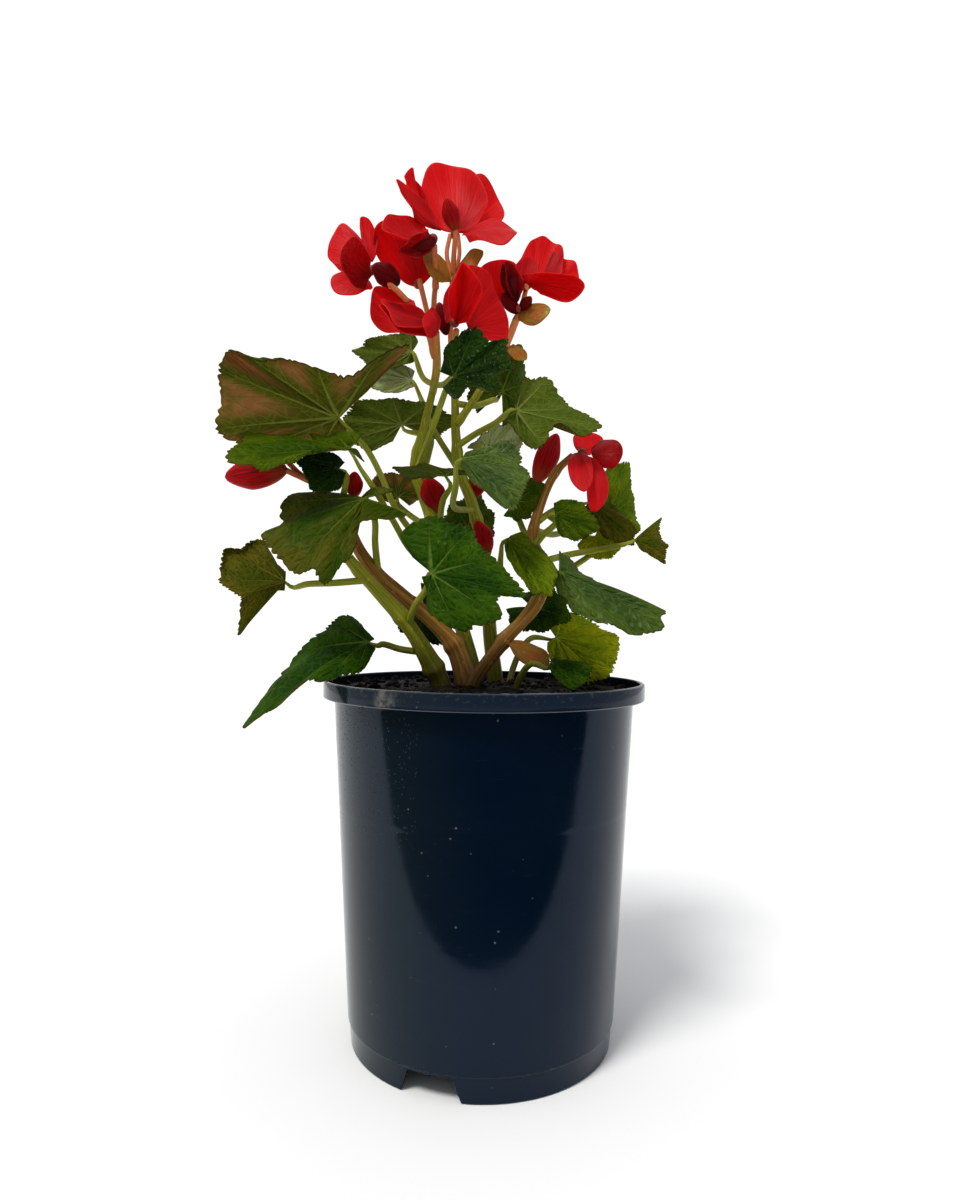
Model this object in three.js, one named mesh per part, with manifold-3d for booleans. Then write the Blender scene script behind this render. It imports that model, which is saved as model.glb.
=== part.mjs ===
// A potted begonia: a plastic nursery pot full of soil, and a branching plant with
// palmate leaves, clusters of red flowers and flattened buds.
// Millimetres, +Z up. The plant is laid out about the axis of the pot, with the floor
// at z = 0 and the front towards -Y; the last lines centre the whole of it.

import * as THREE from 'three';
import { mergeVertices } from 'three/addons/utils/BufferGeometryUtils.js';
import Module from 'manifold-3d';

const wasm = await Module();
wasm.setup();

// Driving dimensions of the pot
const POT_HEIGHT = 217.6;
const RIM_RADIUS = 100;
const RIM_HEIGHT = 10;
const WALL_TOP_RADIUS = 93;
const WALL_FOOT_RADIUS = 82;
const FOOT_RADIUS = 80;
const FOOT_HEIGHT = 14;
const WALL = 2;
const FOOT_WALL = 2.4;
const RIM_LIP = 2.8;
const FLOOR = 2.4;
const POT_SIDES = 30;
const NOTCHES = { count: 3, first: 250, height: 13, bottom: 39, top: 26 };
const DRAIN = { radius: 7, from_axis: 54, sides: 12 };

// Driving dimensions of the soil
const SOIL = { edge: 209.6, crown: 6, lump: 1.3, rings: 3, seed: 7 };

// Driving dimensions of the plant
const GAP = 0.3;
const LEAF_THICKNESS = 1;
const PETAL_THICKNESS = 0.9;

const DEG = Math.PI / 180;
const COLOURS = {
  pot: 0x10141c,
  soil: 0x1d1712,
  stem: 0x7d7a2e,
  brownStem: 0x80542a,
  leaf: 0x356a1e,
  petal: 0xd3141c,
  bud: 0x8a1622,
};

const vec = (p) => new THREE.Vector3(...p);

// A closed shape as a solid that can be joined and cut
function solid(geometry) {
  const bare = geometry.clone();
  bare.deleteAttribute('normal');
  bare.deleteAttribute('uv');
  const welded = mergeVertices(bare, 1e-4);
  return new wasm.Manifold(new wasm.Mesh({
    numProp: 3,
    vertProperties: new Float32Array(welded.attributes.position.array),
    triVerts: new Uint32Array(welded.index.array),
  }));
}

function join(solids) {
  return solids.reduce((whole, next) => whole.add(next));
}

function cut(whole, cutters) {
  return cutters.reduce((left, cutter) => left.subtract(cutter), whole);
}

function toGeometry(manifold) {
  const { vertProperties, triVerts, numProp } = manifold.getMesh();
  const points = [];
  for (let i = 0; i < vertProperties.length; i += numProp) {
    points.push(vertProperties[i], vertProperties[i + 1], vertProperties[i + 2]);
  }
  const geometry = new THREE.BufferGeometry();
  geometry.setAttribute('position', new THREE.Float32BufferAttribute(points, 3));
  geometry.setIndex(Array.from(triVerts));
  geometry.computeVertexNormals();
  return geometry;
}

// A small repeatable random number between -1 and 1
function dice(seed) {
  let state = seed;
  return () => {
    state = (state * 16807) % 2147483647;
    return (state / 2147483647) * 2 - 1;
  };
}

// A stalk: a cylinder bent along a smooth curve, with a radius that follows a list
function stalk({ through, radii, sides = 6, step = 18 }, grow = 0) {
  const path = new THREE.CatmullRomCurve3(through.map(vec), false, 'centripetal');
  const steps = Math.max(2, Math.round(path.getLength() / step));
  const frames = path.computeFrenetFrames(steps);
  const tube = new THREE.CylinderGeometry(1, 1, 1, sides, steps);
  const place = tube.attributes.position;
  for (let i = 0; i < place.count; i += 1) {
    const along = place.getY(i) + 0.5;
    const ring = Math.round(along * steps);
    const spot = path.getPointAt(along);
    spot.addScaledVector(frames.tangents[ring], (along * 2 - 1) * grow);
    const radius = ramp(radii, along) + grow;
    spot.addScaledVector(frames.normals[ring], place.getX(i) * radius);
    spot.addScaledVector(frames.binormals[ring], -place.getZ(i) * radius);
    place.setXYZ(i, spot.x, spot.y, spot.z);
  }
  return solid(tube);
}

// The value at a share of the way along a list
function ramp(list, share) {
  const at = share * (list.length - 1);
  const low = Math.min(Math.floor(at), list.length - 2);
  return list[low] + (list[low + 1] - list[low]) * (at - low);
}

// A sheet with thickness: both faces of a fan of triangles, and a wall along its edge
function sheet(points, faces, thickness) {
  const normals = points.map(() => new THREE.Vector3());
  const edges = new Map();
  for (const [a, b, c] of faces) {
    const across = points[b].clone().sub(points[a]);
    across.cross(points[c].clone().sub(points[a]));
    for (const corner of [a, b, c]) normals[corner].add(across);
    for (const [from, to] of [[a, b], [b, c], [c, a]]) edges.set(`${from} ${to}`, [from, to]);
  }
  const position = [];
  for (const side of [0.5, -0.5]) {
    points.forEach((point, i) => {
      const spot = point.clone().addScaledVector(normals[i].normalize(), thickness * side);
      position.push(spot.x, spot.y, spot.z);
    });
  }
  const under = points.length;
  const index = [];
  for (const [a, b, c] of faces) {
    index.push(a, b, c);
    index.push(under + a, under + c, under + b);
  }
  for (const [from, to] of edges.values()) {
    if (edges.has(`${to} ${from}`)) continue;
    index.push(from, under + from, under + to);
    index.push(from, under + to, to);
  }
  const geometry = new THREE.BufferGeometry();
  geometry.setAttribute('position', new THREE.Float32BufferAttribute(position, 3));
  geometry.setIndex(index);
  return solid(geometry);
}

// A blade is a fan about the point where its stalk meets it. `tip` is the end of its
// midrib and `face` is roughly where its upper side looks. `lift` says by how many
// degrees each main vein rises out of the blade's plane, from one side of the midrib
// to the other; `bow` arches every vein by that many degrees, `wide` closes or opens
// the fan, and `wave` ripples the edge by that many millimetres.
function blade(form, pose, grow = 0) {
  const { at, tip, face, lift, bow = 20, wide = 1, wave = 0, phase = 0 } = pose;
  const joint = vec(at);
  const along = vec(tip).sub(joint);
  const chord = along.length();
  along.normalize();
  const up = vec(face);
  up.addScaledVector(along, -up.dot(along)).normalize();
  const across = new THREE.Vector3().crossVectors(up, along);
  const arch = (bow || 0.5) * DEG;
  const reach = (chord * (arch / 2)) / Math.sin(arch / 2);

  const points = [joint.clone()];
  const last = form.spokes.length - 1;
  for (const share of form.rings) {
    form.spokes.forEach((angle, i) => {
      const rise = smooth(lift, i / last) * DEG;
      const start = rise + arch / 2;
      const end = start - arch * share;
      const length = reach * form.outline(angle);
      const out = (length * (Math.sin(start) - Math.sin(end))) / arch;
      const ripple = wave * share * share * Math.cos(form.ripples * angle * DEG + phase);
      const height = (length * (Math.cos(end) - Math.cos(start))) / arch + ripple;
      const turn = angle * wide * DEG;
      const spot = joint.clone();
      spot.addScaledVector(along, out * Math.cos(turn));
      spot.addScaledVector(across, out * Math.sin(turn));
      spot.addScaledVector(up, height);
      points.push(spot);
    });
  }
  const faces = [];
  const count = form.spokes.length;
  for (let i = 0; i < last; i += 1) {
    faces.push([0, 1 + i, 2 + i]);
    for (let ring = 1; ring < form.rings.length; ring += 1) {
      const inner = 1 + (ring - 1) * count + i;
      const outer = inner + count;
      faces.push([inner, outer, outer + 1]);
      faces.push([inner, outer + 1, inner + 1]);
    }
  }
  return sheet(points, faces, form.thickness + 2 * grow);
}

// A value between the entries of a list, eased from each to the next
function smooth(list, share) {
  const at = share * (list.length - 1);
  const low = Math.min(Math.floor(at), list.length - 2);
  const ease = (1 - Math.cos((at - low) * Math.PI)) / 2;
  return list[low] + (list[low + 1] - list[low]) * ease;
}

function spread(step, half) {
  return Array.from({ length: 2 * half + 1 }, (_, i) => (i - half) * step);
}

// The outline of a leaf: a heart with a pointed tip, a shallow lobe at each main vein
// and a tooth on every other spoke
const VEIN_STEP = 39;
function leafOutline(angle) {
  const turn = Math.abs(angle) * DEG;
  const heart = 0.6 + 0.28 * ((1 + Math.cos(turn)) / 2) ** 2;
  const point = 0.12 * Math.exp(-((angle / 15) ** 2));
  const lobe = 0.035 * (Math.cos((angle * 360 * DEG) / VEIN_STEP) - 1);
  const tooth = Math.round(angle / 13) % 2 === 0 ? 0 : -0.07;
  return heart + point + lobe + tooth;
}
const LEAF = {
  spokes: spread(13, 12),
  rings: [0.5, 1],
  outline: leafOutline,
  ripples: 4,
  thickness: LEAF_THICKNESS,
};
const SMALL_LEAF = { ...LEAF, spokes: spread(19.5, 8) };

// The outline of a petal or a bract: a rounded fan
const PETAL_HALF = 60;
function petalOutline(angle) {
  return Math.cos((angle * 82 * DEG) / PETAL_HALF) ** 0.42;
}
const PETAL = {
  spokes: spread(PETAL_HALF / 3, 3),
  rings: [0.55, 1],
  outline: petalOutline,
  ripples: 6,
  thickness: PETAL_THICKNESS,
};
const BRACT = {
  ...PETAL,
  outline: (angle) => petalOutline(angle) * (1 - 0.25 * Math.abs(angle / PETAL_HALF)),
};

// A bud: a flattened teardrop from its stalk to its tip
function bud({ from, to, thick, flat = 0.6, face = [0, -1, 0] }) {
  const base = vec(from);
  const along = vec(to).sub(base);
  const length = along.length();
  along.normalize();
  const up = vec(face);
  up.addScaledVector(along, -up.dot(along)).normalize();
  const across = new THREE.Vector3().crossVectors(along, up);
  const ball = new THREE.SphereGeometry(1, 8, 5);
  const place = ball.attributes.position;
  for (let i = 0; i < place.count; i += 1) {
    const share = (place.getY(i) + 1) / 2;
    const belly = 0.75 + 0.45 * share - 0.25 * share * share;
    const spot = base.clone().addScaledVector(along, share * length);
    spot.addScaledVector(across, place.getX(i) * belly * thick);
    spot.addScaledVector(up, place.getZ(i) * belly * thick * flat);
    place.setXYZ(i, spot.x, spot.y, spot.z);
  }
  return solid(ball);
}

// The stems that stand in the soil, with the flower stalks that branch from them
const STEMS = {
  stem_left: {
    colour: COLOURS.stem,
    main: {
      through: [
        [-22, -3, 190], [-28, -5, 216], [-38, -12, 237], [-49, -16, 254],
        [-64, -21, 271], [-78, -24, 286], [-83, -25, 292],
      ],
      radii: [6.5, 6.5, 7, 5.6, 6.2, 5.2, 4.5],
      sides: 8,
    },
  },
  stem_brown: {
    colour: COLOURS.brownStem,
    main: {
      through: [
        [-8, -2, 190], [-11, -1, 214], [-19, 1, 238], [-34, 0, 255], [-52, -5, 270],
        [-67, -9, 283], [-78, -11, 297], [-86, -12, 314], [-94, -13, 330],
      ],
      radii: [8, 7.5, 6.5, 5, 4.6, 4.6, 4, 3.4, 2.8],
      sides: 8,
    },
    shoots: [
      { through: [[-93, -13, 328], [-104, -16, 337], [-123, -20, 346]], radii: [2.4, 1.6, 1.8] },
      { through: [[-90, -13, 322], [-86, -14, 325], [-82, -15, 330]], radii: [2, 1.6, 1.8] },
      { through: [[-106, -17, 338], [-117, -16, 346], [-124, -14, 353]], radii: [1.8, 1.6, 1.8] },
    ],
  },
  stem_tan: {
    colour: COLOURS.brownStem,
    main: {
      through: [
        [-8, -19, 190], [-7, -20, 214], [12, -22, 243], [33, -20, 268], [35, -12, 290],
        [30, -6, 308], [35, -5, 330], [45, -2, 351], [55, -1, 361],
      ],
      radii: [4, 4, 4.2, 4, 3.8, 3.6, 3.2, 2.6, 2.2],
      sides: 8,
    },
    shoots: [
      { through: [[14, -19, 246], [25, -12, 258], [32, -8, 269]], radii: [3.4, 3.4, 3.2] },
      { through: [[31, -6, 312], [33, 14, 325], [34, 34, 349]], radii: [2.2, 2, 2] },
    ],
  },
  stem_centre: {
    colour: COLOURS.stem,
    main: {
      through: [
        [-4, 17, 190], [-5, 16, 214], [-18, 15, 262], [-28, 12, 301], [-40, 9, 335],
        [-46, 6, 352], [-40, 5, 382], [-34, 5, 412], [-34, 4, 441], [-35, 4, 463],
        [-33, 4, 479],
      ],
      radii: [5, 5, 4.6, 4.4, 4.2, 4.2, 3.6, 3.2, 2.6, 2.4, 2.2],
      sides: 8,
    },
    shoots: [
      { through: [[-34, 5, 425], [-40, -6, 442], [-56, -20, 458], [-67, -24, 465]], radii: [2.2, 1.8, 1.8] },
      { through: [[-34, 4, 433], [-39, -3, 452], [-44, -5, 472]], radii: [2, 1.7, 1.7] },
      { through: [[-35, 5, 402], [-31, -14, 412], [-31, -33, 428]], radii: [2, 1.8, 1.8] },
      { through: [[-34, 4, 470], [-34, -6, 480], [-34, -14, 490]], radii: [2, 1.7, 1.7] },
      { through: [[-30, 12, 305], [-31, 12, 315], [-30, 10, 325]], radii: [2, 1.6, 1.6] },
    ],
    bracts: [
      { at: [-33, 4, 478], tip: [-42, -8, 486], face: [0.2, -0.4, 1], wide: 0.7 },
    ],
  },
  stem_back: {
    colour: COLOURS.stem,
    main: {
      through: [
        [9, 24, 190], [8, 23, 214], [4, 22, 245], [2, 22, 275], [-2, 20, 305],
        [-10, 16, 335], [-17, 12, 352], [-20, 10, 375], [-21, 7, 400], [-24, 2, 441],
        [-23, 2, 479],
      ],
      radii: [5, 5, 4.6, 4.2, 4, 3.8, 3.6, 3, 2.6, 2.2, 2.4],
      sides: 8,
    },
    shoots: [
      { through: [[-20, 9, 382], [-4, 2, 404], [11, -4, 429], [18, -8, 446]], radii: [2.6, 2.4, 2.2, 2.4] },
      { through: [[17, -8, 444], [22, -4, 458], [25, 1, 472]], radii: [1.8, 1.6, 1.6] },
      { through: [[-23, 3, 428], [-21, -14, 422], [-19, -36, 428]], radii: [1.9, 1.7, 1.8] },
      { through: [[-23, 2, 476], [-27, 2, 491], [-25, 3, 505]], radii: [2.2, 2, 2] },
      { through: [[-23, 2, 476], [-19, 3, 491], [-20, 3, 505]], radii: [2.2, 2, 2] },
      { through: [[-23, 2, 478], [-22, -6, 490], [-21, -9, 502]], radii: [1.8, 1.6, 1.6] },
      { through: [[0, 21, 292], [1, 19, 296], [3, 16, 301]], radii: [2, 1.6, 1.6] },
      { through: [[-9, 17, 328], [-10, 19, 332], [-10, 20, 336]], radii: [2, 1.6, 1.6] },
    ],
    bracts: [
      { at: [-24, 2, 478], tip: [-6, -6, 489], face: [-0.3, -0.4, 1], wide: 0.6 },
      { at: [18, -8, 446], tip: [39, -14, 450], face: [0, -1, 0.3], wide: 0.8 },
      { at: [12, -4, 430], tip: [25, -6, 421], face: [0.2, -1, 0.3], wide: 0.7 },
    ],
  },
};

// The leaves. `stalk` runs from the blade to the stem that carries it.
const LEAVES = {
  leaf_upper_left: {
    at: [-94, -10, 378],
    tip: [-157, -48, 408],
    face: [0.2, 1, 0.25],
    lift: [10, 50, 60, 20, 0, -40, -50, -15, 0],
    bow: 25,
    stalk: [[-76, -6, 363], [-67, -4, 347], [-57, 0, 325], [-44, 8, 309], [-28, 12, 300]],
  },
  leaf_top_back: {
    form: SMALL_LEAF,
    at: [-51, 45, 432],
    tip: [-97, 60, 429],
    face: [0.1, 1, 0.5],
    lift: [10, 40, 50, 30, 0, 25, 45, 40, 10],
    stalk: [[-44, 38, 422], [-32, 28, 414], [-22, 6, 413]],
  },
  leaf_left_bright: {
    at: [-82, -36, 355],
    tip: [-148, -56, 350],
    face: [0, -0.4, 1],
    lift: [-10, -10, -10, -5, 0, 0, -5, -15, -20],
    bow: 10,
    wave: 2,
    wide: 0.72,
    stalk: [[-76, -30, 346], [-68, -22, 334], [-58, -10, 317], [-47, 2, 299], [-24, 13, 282]],
  },
  leaf_left_small: {
    form: SMALL_LEAF,
    at: [-89, -31, 337],
    tip: [-109, -46, 343],
    face: [-0.2, -0.8, 0.5],
    lift: [20, 30, 30, 10, 0, 0, 0, 10, 20],
    stalk: [[-87, -22, 332], [-90, -17, 328], [-92, -13, 325]],
  },
  leaf_left_roof: {
    at: [-71, -35, 324],
    tip: [-131, -50, 302],
    face: [0, -0.8, 0.6],
    lift: [-30, -45, -45, -35, 0, 0, -55, -70, -60],
    bow: 10,
    wide: 0.78,
    stalk: [[-67, -27, 314], [-68, -18, 302], [-67, -9, 284]],
  },
  leaf_far_left: {
    at: [-121, -25, 277],
    tip: [-155, -44, 270],
    face: [-0.1, -0.75, 0.6],
    lift: [40, 60, 50, 20, 0, 0, -60, -70, -60],
    wide: 0.95,
    stalk: [[-108, -25, 276], [-92, -24, 277], [-72, -23, 279]],
  },
  leaf_low_left: {
    at: [-81, -20, 250],
    tip: [-137, -50, 190],
    face: [-0.5, -0.47, 0.7],
    lift: [-28, -28, -28, -25, 0, 0, 0, 0, 10],
    wide: 0.6,
    stalk: [[-67, -14, 240], [-54, -13, 236], [-37, -11, 235]],
  },
  leaf_top_centre: {
    at: [-19, -45, 396],
    tip: [17, -65, 397],
    face: [0, -1, 0.15],
    lift: [60, 60, 55, 30, 0, 10, 5, 20, 60],
    bow: -10,
    wave: 1.5,
    stalk: [[-25, -30, 394], [-35, -12, 372], [-45, 5, 350]],
  },
  leaf_right_upper: {
    at: [17, -15, 384],
    tip: [70, -20, 374],
    face: [0.05, 0.95, 0.3],
    lift: [45, 60, 45, 45, 0, 40, 50, 60, 45],
    bow: 10,
    stalk: [[6, -8, 380], [-7, 2, 375], [-20, 10, 368]],
  },
  leaf_centre_right: {
    at: [-14, -55, 340],
    tip: [17, -80, 309],
    face: [0.3, -0.7, 0.6],
    lift: [60, 60, 55, 30, 0, 20, 50, 60, 40],
    stalk: [[-18, -42, 334], [-20, -20, 325], [-8, 17, 328]],
  },
  leaf_front: {
    at: [-29, -60, 283],
    tip: [25, -80, 268],
    face: [0, -1, 0.15],
    lift: [-15, -10, 0, 5, 0, 20, 35, 10, -5],
    wide: 0.92,
    stalk: [[-33, -50, 275], [-42, -32, 263], [-47, -15, 252]],
  },
  leaf_front_right: {
    at: [13, -44, 304],
    tip: [38, -74, 267],
    face: [0.4, -0.6, 0.8],
    lift: [-20, -40, -40, -25, 0, -30, -40, -40, -20],
    wide: 0.85,
    stalk: [[9, -40, 294], [8, -20, 280], [3, 22, 262]],
  },
  leaf_long_right: {
    at: [54, -38, 290],
    tip: [104, -56, 257],
    face: [0.5, -0.3, 0.8],
    lift: [-20, -25, -20, -10, 0, -10, -20, -25, -20],
    wide: 0.58,
    stalk: [[44, -36, 282], [39, -28, 276], [33, -19, 270]],
  },
  leaf_right_small: {
    form: SMALL_LEAF,
    at: [41, -26, 323],
    tip: [62, -46, 313],
    face: [0.2, -0.95, 0.3],
    lift: [-20, -20, 0, 5, 0, 5, 0, -20, -20],
    stalk: [[38, -18, 314], [31, -8, 306]],
  },
  leaf_right_behind: {
    form: SMALL_LEAF,
    at: [58, 26, 318],
    tip: [72, 18, 290],
    face: [0.1, -0.9, 0.4],
    lift: [-10, -20, -10, 0, 0, 0, -10, -20, -10],
    stalk: [[52, 24, 314], [44, 14, 312], [32, -6, 312]],
  },
  leaf_right_bright: {
    form: SMALL_LEAF,
    at: [88, 32, 326],
    tip: [98, 46, 370],
    face: [0.3, -0.8, 0.2],
    lift: [-40, -50, -50, -30, 0, -30, -45, -50, -40],
    stalk: [[76, 30, 306], [56, 24, 290], [36, -8, 280]],
  },
  leaf_right_grey: {
    at: [64, 12, 334],
    tip: [92, 8, 309],
    face: [0.5, 0.5, 0.7],
    lift: [-50, -60, -60, -40, 0, -40, -60, -60, -50],
    stalk: [[52, 6, 330], [42, 0, 325], [33, -6, 318]],
  },
  leaf_right_tip: {
    form: SMALL_LEAF,
    at: [97, -4, 304],
    tip: [117, -6, 296],
    face: [0.3, 0.7, 0.5],
    lift: [20, 30, 40, 20, 0, 30, 60, 40, 20],
    stalk: [[76, 4, 302], [54, 2, 298], [34, -10, 292]],
  },
  leaf_low_right: {
    form: SMALL_LEAF,
    at: [41, 35, 253],
    tip: [90, 52, 238],
    face: [-0.1, -0.8, 0.4],
    lift: [-10, -10, -10, -5, 0, 0, 0, -10, -10],
    stalk: [[32, 28, 244], [23, 18, 234], [16, 8, 214], [15, 6, 196]],
  },
  leaf_soil_right: {
    form: SMALL_LEAF,
    at: [34, -42, 236],
    tip: [53, -58, 227],
    face: [-0.1, -0.5, 0.8],
    lift: [50, 40, -10, 0, 0, -10, -20, 0, 40],
    stalk: [[28, -35, 230], [20, -28, 218], [17, -26, 196]],
  },
  leaf_dark_right: {
    form: SMALL_LEAF,
    at: [30, 4, 264],
    tip: [54, -10, 256],
    face: [0, -0.8, 0.5],
    lift: [0, -10, 0, 0, 0, 0, 0, -10, 0],
    stalk: [[22, 8, 256], [12, 18, 246], [4, 22, 240]],
  },
  leaf_left_inner: {
    form: SMALL_LEAF,
    at: [-46, 20, 326],
    tip: [-56, 8, 350],
    face: [0.1, -0.9, 0.4],
    lift: [-10, -10, 0, 0, 0, 0, 0, -10, -10],
    stalk: [[-40, 16, 318], [-34, 11, 317]],
  },
  leaf_behind_stems: {
    form: SMALL_LEAF,
    at: [-24, 50, 394],
    tip: [-58, 68, 382],
    face: [0.1, 0.8, 0.6],
    lift: [0, 0, 0, 0, 0, 0, 0, 0, 0],
    stalk: [[-20, 44, 388], [-24, 24, 372], [-17, 12, 352]],
  },
  leaf_back_left: {
    form: SMALL_LEAF,
    at: [-46, 30, 391],
    tip: [-80, 24, 384],
    face: [0.1, 0.7, 0.7],
    lift: [-20, -40, -50, -30, 0, -20, -30, -30, -20],
    stalk: [[-38, 24, 378], [-38, 14, 364], [-42, 7, 347]],
  },
  leaf_back_top: {
    form: SMALL_LEAF,
    at: [10, 28, 410],
    tip: [22, 40, 446],
    face: [0.3, -0.8, 0.2],
    lift: [-10, -30, -30, -20, 0, -20, -40, -30, -10],
    stalk: [[4, 20, 402], [-8, 12, 396], [-21, 7, 396]],
  },
  leaf_back_right: {
    form: SMALL_LEAF,
    at: [2, 40, 372],
    tip: [27, 52, 384],
    face: [0.1, 0.8, 0.5],
    lift: [0, -20, -20, -10, 0, -10, -20, -20, 0],
    stalk: [[-4, 22, 372], [-10, 15, 362], [-16, 12, 352]],
  },
  leaf_inner_right: {
    form: SMALL_LEAF,
    at: [20, 2, 332],
    tip: [37, -8, 341],
    face: [0.1, -0.8, 0.5],
    lift: [0, -20, -20, 0, 0, 0, -20, -20, 0],
    stalk: [[21, 8, 322], [25, 4, 312], [30, -4, 304]],
  },
  leaf_centre_edge: {
    form: SMALL_LEAF,
    at: [-25, -22, 343],
    tip: [-56, -38, 345],
    face: [-0.1, -0.3, 1],
    lift: [10, 10, -10, -10, 0, 10, 10, 20, 10],
    stalk: [[-27, -10, 330], [-29, 0, 316], [-28, 12, 303]],
  },
  leaf_centre_back: {
    form: SMALL_LEAF,
    at: [-12, 32, 318],
    tip: [-6, 44, 345],
    face: [0.1, -0.9, 0.3],
    lift: [-10, -20, -20, -10, 0, -10, -20, -20, -10],
    stalk: [[-10, 28, 308], [-6, 24, 298], [-1, 21, 288]],
  },
  leaf_low_back: {
    form: SMALL_LEAF,
    at: [-41, 27, 262],
    tip: [-27, 42, 238],
    face: [-0.2, -0.8, 0.3],
    lift: [-10, -10, 0, 0, 0, 0, 0, -10, -10],
    stalk: [[-34, 22, 266], [-26, 16, 266], [-18, 15, 262]],
  },
};

// The flowers. Each petal grows from the heart of its flower.
const BLOOMS = {
  bloom_top: {
    heart: [-22, 3, 508],
    petals: [
      { tip: [-29, 14, 559], face: [0, -1, 0.2], wide: 0.85, lift: [10, 5, 0, 5, 10], wave: 1.5 },
      { tip: [8, 20, 545], face: [-0.3, -1, 0.3], wide: 0.8, lift: [10, 0, 0, 0, 10], wave: 1 },
      { tip: [-55, -12, 533], face: [0.7, -0.2, 0.6], wide: 0.6, lift: [30, 10, 0, 10, 30] },
      { tip: [-53, 8, 548], face: [0.8, -0.2, 0.5], wide: 0.5, lift: [30, 10, 0, 10, 30] },
      { tip: [18, -20, 495], face: [0, -0.5, 1], wide: 0.6, lift: [20, 5, 0, 5, 20] },
    ],
  },
  bloom_left: {
    heart: [-69, -24, 467],
    petals: [
      { tip: [-95, -17, 497], face: [0.3, -0.9, 0.1], wide: 0.9, lift: [10, 0, 0, 0, 10] },
      { tip: [-81, -9, 509], face: [0.5, -0.8, 0.1], wide: 0.5, lift: [10, 0, 0, 0, 10] },
      { tip: [-96, -32, 454], face: [0.2, -0.9, 0.4], wide: 0.9, lift: [10, 0, 0, 0, 10] },
      { tip: [-86, -46, 478], face: [0.7, -0.5, 0.2], wide: 0.9, lift: [20, 5, 0, 5, 20] },
      { tip: [-84, -40, 462], face: [0.5, -0.5, 0.6], wide: 0.7, lift: [20, 5, 0, 5, 20] },
    ],
  },
  bloom_middle: {
    heart: [-44, -6, 474],
    petals: [
      { tip: [-72, -2, 508], face: [0.1, -1, 0.1], wide: 0.8, lift: [10, 0, 0, 0, 10] },
      { tip: [-52, 10, 500], face: [0.1, -1, 0.1], wide: 0.8, lift: [10, 0, 0, 0, 10] },
      { tip: [-62, -24, 466], face: [0.2, -0.8, 0.5], wide: 0.7, lift: [10, 0, 0, 0, 10] },
    ],
  },
  bloom_cupped: {
    heart: [-34, -16, 492],
    petals: [
      { tip: [-66, -18, 506], face: [0, -0.4, 1], wide: 0.7, lift: [-20, -5, 0, -5, -20] },
      { tip: [-54, -30, 482], face: [0.2, -0.9, 0.4], wide: 0.9, lift: [10, 0, 0, 0, 10] },
    ],
  },
  bloom_lower_left: {
    heart: [-32, -36, 430],
    petals: [
      { tip: [-66, -52, 446], face: [0, -0.7, 0.7], wide: 0.7, lift: [-30, -10, 0, -10, -30] },
      { tip: [-64, -54, 433], face: [0, -0.9, -0.3], wide: 0.7, lift: [-20, -5, 0, -5, -20] },
      { tip: [-76, -28, 446], face: [0.1, -0.9, 0.4], wide: 0.9, lift: [0, 0, 0, 0, 0] },
      { tip: [-66, -24, 430], face: [0.1, -0.9, 0.4], wide: 0.8, lift: [0, 0, 0, 0, 0] },
    ],
  },
  bloom_front: {
    heart: [-19, -38, 430],
    petals: [
      { tip: [-12, -50, 466], face: [0.5, -0.9, 0], wide: 0.8, lift: [-20, 0, 10, 0, -20] },
      { tip: [-22, -46, 462], face: [-0.8, -0.7, 0], wide: 0.6, lift: [-10, 0, 0, 0, -10] },
      { tip: [4, -30, 462], face: [0.2, -1, 0.1], wide: 0.9, lift: [0, 0, 0, 0, 0] },
      { tip: [12, -34, 426], face: [0.1, -0.9, 0.3], wide: 0.9, lift: [0, 0, 0, 0, 0] },
      { tip: [-30, -26, 456], face: [-0.2, -1, 0], wide: 0.8, lift: [0, 0, 0, 0, 0] },
    ],
  },
  bloom_right: {
    heart: [25, 1, 475],
    petals: [
      { tip: [36, 13, 509], face: [0, -1, 0.3], wide: 0.9, lift: [10, 0, 0, 0, 10] },
      { tip: [60, 12, 491], face: [-0.3, -1, 0.3], wide: 0.8, lift: [10, 0, 0, 0, 10] },
      { tip: [60, -18, 464], face: [-0.1, -0.7, 0.7], wide: 0.8, lift: [10, 0, 0, 0, 10] },
      { tip: [48, 0, 500], face: [-0.2, -1, 0.2], wide: 0.6, lift: [10, 0, 0, 0, 10] },
    ],
  },
  bloom_right_cup: {
    heart: [19.5, -12, 451],
    petals: [
      { tip: [11, -22, 478], face: [0.4, -0.9, 0], wide: 0.6, lift: [-20, 0, 0, 0, -20] },
      { tip: [29, -20, 462], face: [-0.5, -0.6, 0.6], wide: 0.7, lift: [10, 0, 0, 0, 10] },
      { tip: [7, -24, 462], face: [0.4, -0.6, 0.6], wide: 0.7, lift: [10, 0, 0, 0, 10] },
      { tip: [-4, 0, 482], face: [0.2, -1, 0.1], wide: 0.75, lift: [0, 0, 0, 0, 0] },
    ],
  },
  bloom_hanging: {
    heart: [58, -1, 361],
    petals: [
      { tip: [70, -16, 322], face: [0.3, -0.9, 0.2], wide: 0.5, lift: [-30, 0, 0, 0, -30] },
      { tip: [80, -10, 330], face: [0.5, -0.8, 0.2], wide: 0.5, lift: [-30, 0, 0, 0, -30] },
      { tip: [62, -14, 336], face: [-0.4, -0.9, 0.1], wide: 0.6, lift: [-20, 0, 0, 0, -20] },
      { tip: [62, 10, 374], face: [0, -0.9, 0.2], wide: 0.9, lift: [0, 0, 0, 0, 0] },
      { tip: [85, -6, 364], face: [0, -0.8, 0.5], wide: 0.8, lift: [0, 0, 0, 0, 0] },
    ],
  },
};

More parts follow.
